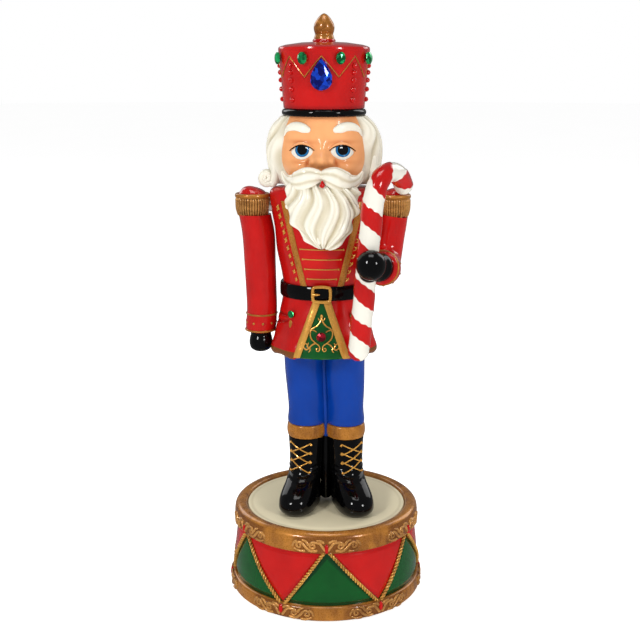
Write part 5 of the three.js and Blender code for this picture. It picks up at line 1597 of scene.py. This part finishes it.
class NUTCRACKER_OT_hat(bpy.types.Operator):
    """Tall hat with its engraved zigzag, black band and gold finial"""

    bl_idname = "nutcracker.hat"
    bl_label = "Hat"

    def execute(self, context):
        self.crown()
        self.zigzag()
        self.band()
        self.finial()
        return {"FINISHED"}

    def crown(self):
        x0, z0, z1 = middle("hat")[0], low("hat")[2], high("hat")[2]
        edge = z1 - z0 - 3.3
        top = float(hat_radius(edge))
        side = [(float(hat_radius(h)), h) for h in np.linspace(0.4, edge - 1, 40)]
        dome = [(top - 0.35, edge - 0.1), (top - 1.3, edge + 0.7), (top - 4, edge + 1.5), (top * 0.5, edge + 2.8)]
        profile = [(float(hat_radius(0)) - 1, 0), *side, *dome, (5, edge + 3.2), (1.0, edge + 3.3)]
        grid = lathe(profile, 256, (x0, 0))
        h = grid[..., 2]
        share = np.abs(((angles(256) / (TAU / PEAKS) + 0.5) % 1) - 0.5) * 2
        line = PEAK_UP + (VALLEY_UP - PEAK_UP) * share[None, :]
        above = 0.35 * smoothstep(-0.3, 0.3, h - line) * (h < edge)
        # Painted shade: darker along the engraved zigzag groove, and round the bottom edge beside the black band,
        # where it also stands for the band's dark reflection.
        wash = 0.9 * bump(h, line - 0.35, 0.55) * (h < edge) + 0.7 * smoothstep(3, 0.5, h)
        grid = pushed(grid, above)
        grid[..., 2] += z0
        piece("hat_cast", closed(grid, np.clip(wash, 0, 1)), "red", "head", ["hat"])

    def zigzag(self):
        """A thin worn gold line along the engraved points."""
        x0, z0 = middle("hat")[0], low("hat")[2]
        steps = 14
        points = []
        for i in range(2 * PEAKS):
            from_h, to_h = (PEAK_UP, VALLEY_UP) if i % 2 == 0 else (VALLEY_UP, PEAK_UP)
            for k in range(steps):
                t = k / steps
                turn = (i + t) * TAU / (2 * PEAKS)
                h = from_h + (to_h - from_h) * t
                points.append(on_drum(np.array(turn), h, hat_radius(h) + 0.22))
        grid = np.array(points + points[:1]) + [x0, 0, z0]
        parts = [tube(grid[i * steps : (i + 1) * steps + 1], 0.3, 6, count=steps + 1) for i in range(2 * PEAKS)]
        piece("hat_zigzag", merged(parts), "gold", "head")

    def band(self):
        x0, z0, z1 = middle("hat_band")[0], low("hat_band")[2] - 0.2, high("hat_band")[2] + 0.2
        r = high("hat_band")[0] - x0
        band = [
            (r - 2.4, z0), (r - 0.8, z0 + 0.1), (r, z0 + 1.2), (r, z1 - 1.2), (r - 0.9, z1 - 0.1), (r - 2.6, z1),
        ]
        grid = lathe(smooth_section(band, 26), 192, (x0, 0))
        piece("hat_band_cast", closed(grid), "black", "head", ["hat_band"])

    def finial(self):
        x0, z0, z1 = middle("hat_finial")[0], low("hat_finial")[2], high("hat_finial")[2]
        r, tall = high("hat_finial")[0] - x0, z1 - z0
        bud = [
            (r, 0.5), (r - 0.3, 2.2), (r - 0.8, 3.9), (r - 0.4, 5.2), (r - 0.05, 7.2), (r - 0.3, 9.2),
            (r - 1.5, 11.6), (r - 3.0, 13.6), (r - 4.6, 15.0), (0.3, tall),
        ]
        grid = lathe([(a, b + z0) for a, b in smooth_section(bud, 60)], 96, (x0, 0))
        piece("finial_cast", closed(grid), "gold", "head", ["hat_finial"])
        foot = [(r - 1, -0.6), (r + 0.5, -0.5), (r + 0.7, 0.3), (r + 0.1, 1.1), (r - 1, 1.2)]
        grid = lathe([(a, b + z0) for a, b in foot], 96, (x0, 0))
        piece("finial_foot", closed(grid), "red", "head")


class NUTCRACKER_OT_hat_stones(bpy.types.Operator):
    """Blue pear stone and columns of red beads"""

    bl_idname = "nutcracker.hat_stones"
    bl_label = "Hat stones"

    def execute(self, context):
        sizes = context.scene.soldier_sizes
        self.pear()
        x0, z0 = middle("hat")[0], low("hat")[2]
        places = []
        for peak in range(1, PEAKS):
            turn = peak * TAU / PEAKS
            for height in (24.6, 20.8, 16.4, 11.2, 5.4):
                spot = on_drum(np.array(turn), height + z0, hat_radius(height) + 0.25) + [x0, 0, 0]
                places.append((spot, (0, 0, turn)))
        bead = ball((0, 0, 0), (1, 1, 1), 20, 12)
        copies("hat_beads", bead, places, "red", "head", size=sizes.hat_bead / MM)
        return {"FINISHED"}

    def pear(self):
        """A pear stone in rows of facets, from its girdle up to its table."""
        (x0, y0, z0), (x1, y1, z1) = low("pear_gem"), high("pear_gem")
        cx, r = (x0 + x1) / 2, (x1 - x0) / 2
        tall = z1 - z0
        lean = (y1 - y0 - 3.0) / tall
        outline = [(r * math.cos(a), r + r * math.sin(a)) for a in np.radians(np.linspace(198, 342, 9))]
        outline += [(r * 0.93, r * 1.3), (r * 0.62, r * 1.95), (0, tall), (-r * 0.62, r * 1.95), (-r * 0.93, r * 1.3)]
        outline = np.array(outline)
        centre = np.array([0, r * 1.02])
        rings = []
        for share, out in ((0.97, 0.2), (1.0, 1.0), (0.82, 2.1), (0.56, 2.9)):
            flat = centre + (outline - centre) * share
            if share == 0.82:
                flat = (flat + np.roll(flat, -1, axis=0)) / 2
            y = [y1 - 0.4 - out - lean * z for z in flat[:, 1]]
            rings.append(np.stack([cx + flat[:, 0], y, z0 + flat[:, 1]], axis=-1))
        shape = closed(np.array(rings))
        piece("pear_stone", shape, "blue_stone", "head", ["pear_gem"], angle=6)


# ---- Arms ----------------------------------------------------------------------------------------


class NUTCRACKER_OT_epaulettes(bpy.types.Operator):
    """Epaulettes: a red top, a gold rim and a fringe of threads"""

    bl_idname = "nutcracker.epaulettes"
    bl_label = "Epaulettes"

    def execute(self, context):
        sizes = context.scene.soldier_sizes
        for name in SIDE:
            node = f"{name}_epaulette"
            (x0, _, z0), (x1, _, z1) = low(node), high(node)
            x, r = (x0 + x1) / 2, (x1 - x0) / 2
            core = [(r - 2.4, z0 + 0.6), (r - 1.8, z0 + 1.6), (r - 1.2, z1 - 4), (r - 1.0, z1 - 2.6)]
            grid = lathe(core, 96, (x, 0))
            # Painted shade: the core is dark gold all over, for the shade behind the fringe.
            dark = closed(grid, np.ones(grid.shape[:2]))
            piece(f"{name}_epaulette_core", dark, "brown_gold", f"{name}_arm", [node])
            rim = [
                (r - 0.9, z1 - 3.2), (r + 0.1, z1 - 2.7), (r + 0.35, z1 - 1.7), (r, z1 - 0.7),
                (r - 1.1, z1 - 0.35), (r - 2.0, z1 - 0.9), (r - 2.2, z1 - 2),
            ]
            grid = lathe(smooth_section(rim, 24), 128, (x, 0))
            piece(f"{name}_epaulette_rim", closed(grid), "gold", f"{name}_arm")
            out = SIDE[name]
            top = [
                [z1 - 1.6, r - 1.9, r - 1.9, 0, x], [z1 - 0.9, r - 1.9, r - 1.9, 0, x],
                [z1 + 0.7, r - 2.9, r - 2.9, 0, x], [z1 + 2.3, r - 5.0, r - 4.6, 0, x + 0.9 * out],
                [z1 + 3.3, r - 7.6, r - 7.0, 0, x + 1.8 * out], [z1 + 3.7, 1.0, 1.0, 0, x + 2.0 * out],
            ]
            grid = level_rings(smooth_rows(top, 24), 96)
            piece(f"{name}_epaulette_top", closed(grid), "red", f"{name}_arm")
            thread = tube(
                [(0, 0.9, 0), (0, 0.25, -0.6), (0, 0, -3), (0, 0.2, -7), (0, 0.9, -10.2)],
                np.array([0.9, 1, 1, 0.95, 0.7]) * sizes.thread / MM, 6, count=12,
            )
            places = []
            for i in range(sizes.threads):
                turn = i * TAU / sizes.threads
                spot = on_drum(np.array(turn), z1 - 2.9, r - 0.5) + [x, 0, 0]
                places.append((spot, (0, 0, turn), 1.0 + 0.05 * math.sin(i * 2.4)))
            copies(f"{name}_fringe", thread, places, "leaf_gold", f"{name}_arm")
        return {"FINISHED"}


class NUTCRACKER_OT_right_arm(bpy.types.Operator):
    """Straight right sleeve with its cuff, and its round glove"""

    bl_idname = "nutcracker.right_arm"
    bl_label = "Right arm"

    def execute(self, context):
        sizes = context.scene.soldier_sizes
        x = middle("right_epaulette")[0]
        z0, z1 = low("right_sleeve")[2], high("right_sleeve")[2]
        rows = [
            [z0 + 0.2, 7.6, 8.0, 0, x + 4.0], [z0 + 0.9, 8.9, 9.4, 0, x + 4.0], [z0 + 3, 9.3, 9.7, 0, x + 4.15],
            [z0 + 12, 9.3, 9.7, 0, x + 4.85], [z0 + 26, 9.4, 9.9, 0, x + 4.8], [z0 + 42, 9.6, 10.2, 0, x + 4.3],
            [z1 - 8, 9.9, 10.5, 0, x + 2.9], [z1 + 0.6, 9.8, 10.2, 0, x + 1.2],
        ]
        grid = level_rings(smooth_rows(rows, 90), 128)
        a, z = angles(128)[None, :], grid[..., 2]
        folds = 0.18 * np.sin(a * 3 + z * 0.06) * smoothstep(z0 + 14, z0 + 30, z)
        grid = pushed(grid, folds)
        piece("right_sleeve_cast", closed(grid), "red", "right_arm", ["right_sleeve"])
        self.cuff(x, z0, sizes)
        self.glove(x)
        return {"FINISHED"}

    def cuff(self, x, z0, sizes):
        rings = []
        half_width, half_depth = 9.35, 9.75
        for height, thick in ((1.4, 0.6), (11.6, 0.55)):
            a = np.linspace(0, TAU, 65)
            centre = x + 4.0 + height * 0.07
            path = np.stack(
                [centre + half_width * np.sin(a), -half_depth * np.cos(a), 0 * a + z0 + height], axis=-1
            )
            rings.append(tube(path, thick, 8, count=130))
        piece("right_cuff_piping", merged(rings), "gold", "right_arm")
        places = []
        for i in range(10):
            turn = (i + 0.35) * TAU / 10
            spot = (x + 4.45 + half_width * math.sin(turn), -half_depth * math.cos(turn), z0 + 6.4)
            places.append((spot, (0, 0, turn)))
        dot = ball((0, 0, 0), (1, 0.8, 1), 12, 8)
        copies("right_cuff_dots", dot, places, "gold", "right_arm", size=sizes.dot / MM * 1.3)

    def glove(self, x):
        z0, z1 = low("right_hand")[2], high("right_hand")[2]
        c = x + 4.1
        rows = [
            [z0 + 0.1, 1.6, 1.8, -1, c], [z0 + 0.7, 4.2, 4.5, -1, c], [z0 + 2.4, 6.3, 6.6, -1, c],
            [z0 + 5.2, 7.1, 7.4, -0.8, c], [z0 + 8.4, 6.9, 7.2, -0.4, c], [z1 - 1.2, 6.3, 6.6, 0, c],
            [z1 + 0.6, 6.6, 6.9, 0, c],
        ]
        grid = level_rings(smooth_rows(rows, 50), 96)
        piece("right_glove", closed(grid), "black", "right_arm", ["right_hand"])


def sweep(path, radii, sides=96):
    """Grid of rings across a path, each row of radii its radius along X and across."""
    rows = smooth_rows(np.column_stack([path, radii]), 120)
    path, radii = rows[:, :3], rows[:, 3:]
    ahead = np.gradient(path, axis=0)
    ahead /= np.linalg.norm(ahead, axis=1, keepdims=True)
    a = np.linspace(0, TAU, sides, endpoint=False)
    grid = []
    for p, (ru, rv), t in zip(path, radii, ahead):
        u = np.array([1.0, 0, 0]) - t * t[0]
        u /= np.linalg.norm(u)
        v = np.cross(t, u)
        grid.append(p + np.outer(np.cos(a) * ru, u) + np.outer(np.sin(a) * rv, v))
    return np.array(grid)


class NUTCRACKER_OT_left_arm(bpy.types.Operator):
    """Bent left sleeve with its cuff, and the glove round the cane"""

    bl_idname = "nutcracker.left_arm"
    bl_label = "Left arm"

    def execute(self, context):
        x, top = middle("left_epaulette")[0], high("left_sleeve")[2]
        wrist = np.array([x - 7.3, low("left_sleeve")[1] + 0.8, 213.6])
        hand = np.array([wrist[0] - 5.6, low("left_hand")[1] + 8.7, wrist[2] + 3.2])
        ahead = (hand - wrist) / np.linalg.norm(hand - wrist)
        path = [
            (x - 0.8, 0, top + 0.6), (x - 1.6, 0, top - 5), (x - 2.6, 0, 226), (x - 3.6, -1.2, 218.4),
            (x - 4.6, -5, 212.6), (x - 5.3, -11.5, 210.2), (x - 6.0, -19, 210.2), (x - 6.8, -27, 211.8),
            tuple(wrist - ahead * 2.2), tuple(wrist - ahead * 0.6), tuple(wrist),
        ]
        radii = [
            (9.0, 9.4), (9.1, 9.8), (9.0, 10), (9.0, 10.1), (9.1, 10.1), (9.3, 10), (9.5, 9.9), (9.6, 9.8),
            (9.7, 9.7), (9.3, 9.3), (8.2, 8.2),
        ]
        grid = sweep(path, radii)
        piece("left_sleeve_cast", closed(grid), "red", "left_arm", ["left_sleeve"])
        self.cuff(grid)
        self.glove(wrist, hand, ahead)
        return {"FINISHED"}

    def cuff(self, grid):
        """Piping and dots laid on the sleeve's own rings near the wrist."""
        middles = grid.mean(axis=1)
        back = np.cumsum(np.linalg.norm(np.diff(middles[::-1], axis=0), axis=1))
        rings, places = [], []
        for distance, thick in ((1.6, 0.6), (10.5, 0.5)):
            ring = grid[::-1][int(np.searchsorted(back, distance)) + 1]
            rings.append(tube(np.vstack([ring, ring[:2]]), thick, 8, count=140))
        piece("left_cuff_piping", merged(rings), "gold", "left_arm")
        ring = grid[::-1][int(np.searchsorted(back, 6.2)) + 1]
        for i in range(10):
            places.append((ring[int((i + 0.5) * len(ring) / 10)], (0, 0, 0)))
        dot = ball((0, 0, 0), (1, 1, 1), 12, 8)
        copies("left_cuff_dots", dot, places, "gold", "left_arm", size=0.8)

    def glove(self, wrist, hand, ahead):
        """A ball of a fist on a short padded cuff, with a thumb over the stick."""
        parts = [
            ball(hand, (8.7, 8.7, 8.7), 48, 30),
            tube([wrist + ahead * 0.2, wrist + ahead * 3, wrist + ahead * 6, wrist + ahead * 10],
                 [8.0, 8.4, 7.6, 6.6], 40, count=30),
            ball(hand + [-1.2, 3.0, -4.6], (6.0, 6.0, 6.0), 32, 20),
        ]
        piece("left_glove", merged(parts), "black", "left_arm", ["left_hand"])


class NUTCRACKER_OT_cane(bpy.types.Operator):
    """Striped candy cane hooked over the left shoulder"""

    bl_idname = "nutcracker.cane"
    bl_label = "Candy cane"

    def execute(self, context):
        sizes = context.scene.soldier_sizes
        hand = np.array([low("left_hand")[0] + 18.0, low("left_hand")[1] + 8.7, 216.8])
        stick = [(-9.9, 10, -52.6), (-7.4, 8.8, -24), (-5.4, 8, 0), (-3.6, 8.0, 20), (-2, 8.3, 36.4)]
        hook = [(0.2, 10, 45), (3.8, 14.6, 49.2), (8.0, 22.2, 50.4), (12.2, 31.2, 47.2), (14.8, 39.4, 41.0)]
        path = np.array(stick + hook) + hand
        radii = [6.1] * len(stick) + [5.8, 5.6, 5.6, 5.6, 5.6]
        rows = smooth_rows(np.column_stack([path, radii]), 260)
        centre, radius = rows[:, :3], rows[:, 3]
        run = np.concatenate([[0], np.cumsum(np.linalg.norm(np.diff(centre, axis=0), axis=1))])
        centre, radius, run = self.rounded(centre, radius, run)
        grid, stripe = self.rings(centre, radius, run, sizes)
        piece(
            "candy_cane_cast", closed(grid, stripe), "cane", "left_arm",
            ["candy_cane"], value="stripe",
        )
        return {"FINISHED"}

    def rounded(self, centre, radius, run):
        """Adds a rounded end at each end of the path."""
        a = np.linspace(0, 1, 12)[1:] * (math.pi / 2 * 0.985)
        first, last = centre[0] - centre[1], centre[-1] - centre[-2]
        first, last = first / np.linalg.norm(first), last / np.linalg.norm(last)
        r0, r1 = radius[0], radius[-1]
        foot = centre[0] + np.outer(np.sin(a) * r0, first)
        tip = centre[-1] + np.outer(np.sin(a) * r1, last)
        return (
            np.vstack([foot[::-1], centre, tip]),
            np.concatenate([(r0 * np.cos(a))[::-1], radius, r1 * np.cos(a)]),
            np.concatenate([(-np.sin(a) * r0)[::-1], run, run[-1] + np.sin(a) * r1]),
        )

    def rings(self, centre, radius, run, sizes):
        """Rings across the cane, proud where the stripe that winds round it is red."""
        ahead = np.gradient(centre, axis=0)
        ahead /= np.linalg.norm(ahead, axis=1, keepdims=True)
        a = np.linspace(0, TAU, 64, endpoint=False)
        u = np.array([1.0, 0.0, 0.0])
        pitch, relief = sizes.stripe_pitch / MM, sizes.stripe_relief / MM
        first, straight, slower = 0.135, 95, 0.7
        grid, stripe = [], []
        full = radius.max()
        for p, r, t, s in zip(centre, radius, ahead, run):
            u = u - t * u.dot(t)
            u /= np.linalg.norm(u)
            v = np.cross(t, u)
            wobble = 0.02 * np.sin(a * 3 + s * 0.4) + 0.012 * np.sin(a * 7 - s * 0.7)
            wound = min(s, straight) + slower * max(s - straight, 0)
            turn = (wound / pitch + a / TAU + wobble + first) % 1
            red = 0.25 - np.abs(turn - 0.5)
            proud = relief * smoothstep(-0.03, 0.03, red) * min(1, r / full)
            grid.append(p + np.outer(np.cos(a) * (r + proud), u) + np.outer(np.sin(a) * (r + proud), v))
            stripe.append(red * 6)
        return np.array(grid), np.array(stripe)


# ---- Parts that stay as the frame has them ---------------------------------------------------------

KEPT = {
    # finish: (nodes)
    "black_plastic": ("base_plate", "battery_door", "speaker", "switch_knob", "hip_plate"),
    "white_plastic": ("switch_housing", "gearbox", "neck_spindle", "right_arm_shaft", "left_arm_shaft"),
    "steel": ("battery_door_screw", "base_screw_1", "base_screw_2", "base_screw_3", "motor"),
    "rubber": tuple(f"rubber_foot_{i}" for i in range(1, 5)),
    "cell": tuple(f"battery_{i}" for i in range(1, 4)),
    "board": ("sound_board",),
    "wire": ("motor_lead",),
    "green_stone": ("right_coat_gem", "left_coat_gem", *(f"hat_gem_{i}" for i in range(1, 9))),
    "red_stone": ("apron_gem",),
}


class NUTCRACKER_OT_kept_parts(bpy.types.Operator):
    """Finishes of the stones, underside and mechanism, whose shapes are the frame's own"""

    bl_idname = "nutcracker.kept_parts"
    bl_label = "Kept parts"

    def execute(self, context):
        for name, nodes in KEPT.items():
            for node in nodes:
                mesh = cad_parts[node].data
                mesh.materials.clear()
                mesh.materials.append(finish(name))
        return {"FINISHED"}


# ---- Stage ---------------------------------------------------------------------------------------


class NUTCRACKER_OT_stage(bpy.types.Operator):
    """Floor, soft studio lights and camera"""

    bl_idname = "nutcracker.stage"
    bl_label = "Stage"

    def execute(self, context):
        self.floor()
        self.lights()
        self.camera()
        return {"FINISHED"}

    def floor(self):
        mesh = bpy.data.meshes.new("floor")
        points = [(9 * math.sin(a), -9 * math.cos(a), 0.0) for a in angles(64)]
        mesh.from_pydata(points, [], [tuple(range(64))])
        mesh.shade_smooth()
        floor = bpy.data.objects.new("floor", mesh)
        bpy.context.scene.collection.objects.link(floor)
        floor.visible_glossy = False
        material, tree, surface, place = shader("floor_paper", 0.7, specular=0.2)
        surface.inputs["Emission Color"].default_value = (1, 1, 1, 1)
        surface.inputs["Emission Strength"].default_value = 0.78
        soft = ranged(tree, noise(tree, place, 3.0), 0.3, 0.7, 0.0, 1.0)
        tree.links.new(mixed(tree, soft, (0.93, 0.93, 0.93), (0.9, 0.9, 0.9)), surface.inputs["Base Color"])
        mesh.materials.append(material)

    def lights(self):
        """Two tall soft boxes in front, a wide one above and pale surroundings."""
        aim = (CAD_BOX[0] + CAD_BOX[1]) / 2
        for name, place, size, power in (
            ("key", (-0.75, -1.1, 0.95), (0.22, 0.34), 9.6),
            ("fill", (0.95, -1.0, 0.75), (0.22, 0.34), 7.0),
            ("top", (0.0, -0.15, 1.5), (0.6, 0.5), 4.5),
            ("back_left", (-0.9, 0.9, 0.9), (0.6, 0.9), 4.0),
            ("back_right", (0.9, 0.9, 0.9), (0.6, 0.9), 4.0),
        ):
            light = bpy.data.lights.new(name, "AREA")
            light.shape = "RECTANGLE"
            light.size, light.size_y = size
            light.energy = power
            made = bpy.data.objects.new(name, light)
            made.location = place
            made.rotation_euler = (aim - Vector(place)).to_track_quat("-Z", "Y").to_euler()
            bpy.context.scene.collection.objects.link(made)
        world = bpy.data.worlds.new("studio")
        world.use_nodes = True
        seen = add_node(world.node_tree, "ShaderNodeLightPath").outputs["Is Camera Ray"]
        paper = world.node_tree.nodes["Background"]
        paper.inputs["Color"].default_value = (1, 1, 1, 1)
        world.node_tree.links.new(ranged(world.node_tree, seen, 0, 1, 0.22, 1.0), paper.inputs["Strength"])
        bpy.context.scene.world = world
        bpy.context.scene.view_settings.view_transform = "Standard"

    def camera(self):
        lens = bpy.data.cameras.new("camera")
        lens.lens, lens.sensor_width = 61.85, 36.0
        lens.clip_start, lens.clip_end = 0.05, 20.0
        made = bpy.data.objects.new("camera", lens)
        made.location = (0.0365, -0.6603, 0.3282)
        made.rotation_euler = (math.radians(76.82), 0, PATTERN_TURN)
        bpy.context.scene.collection.objects.link(made)
        bpy.context.scene.camera = made


class NUTCRACKER_PT_soldier(bpy.types.Panel):
    """Sizes, colours and pieces of the soldier"""

    bl_label = "Nutcracker soldier"
    bl_idname = "NUTCRACKER_PT_soldier"
    bl_space_type = "VIEW_3D"
    bl_region_type = "UI"
    bl_category = "Nutcracker"

    def draw(self, context):
        for group in (context.scene.soldier_sizes, context.scene.soldier_colours):
            column = self.layout.column(align=True)
            for key in type(group).__annotations__:
                column.prop(group, key)
        for operator in OPERATORS:
            self.layout.operator(operator.bl_idname)


OPERATORS = (
    NUTCRACKER_OT_drum,
    NUTCRACKER_OT_drum_ornament,
    NUTCRACKER_OT_boots,
    NUTCRACKER_OT_trousers,
    NUTCRACKER_OT_coat,
    NUTCRACKER_OT_coat_ornament,
    NUTCRACKER_OT_belt,
    NUTCRACKER_OT_face,
    NUTCRACKER_OT_eyes,
    NUTCRACKER_OT_beard,
    NUTCRACKER_OT_hair,
    NUTCRACKER_OT_hat,
    NUTCRACKER_OT_hat_stones,
    NUTCRACKER_OT_epaulettes,
    NUTCRACKER_OT_right_arm,
    NUTCRACKER_OT_left_arm,
    NUTCRACKER_OT_cane,
    NUTCRACKER_OT_kept_parts,
    NUTCRACKER_OT_stage,
)
CLASSES = (SoldierSizes, SoldierColours, *OPERATORS, NUTCRACKER_PT_soldier)


def register():
    for cls in CLASSES:
        bpy.utils.register_class(cls)
    bpy.types.Scene.soldier_sizes = PointerProperty(type=SoldierSizes)
    bpy.types.Scene.soldier_colours = PointerProperty(type=SoldierColours)


def unregister():
    del bpy.types.Scene.soldier_colours
    del bpy.types.Scene.soldier_sizes
    for cls in reversed(CLASSES):
        bpy.utils.unregister_class(cls)


def main():
    register()
    make_finishes(bpy.context.scene.soldier_colours)
    for operator in OPERATORS:
        group, name = operator.bl_idname.split(".")
        getattr(getattr(bpy.ops, group), name)()


if __name__ == "__main__":
    main()
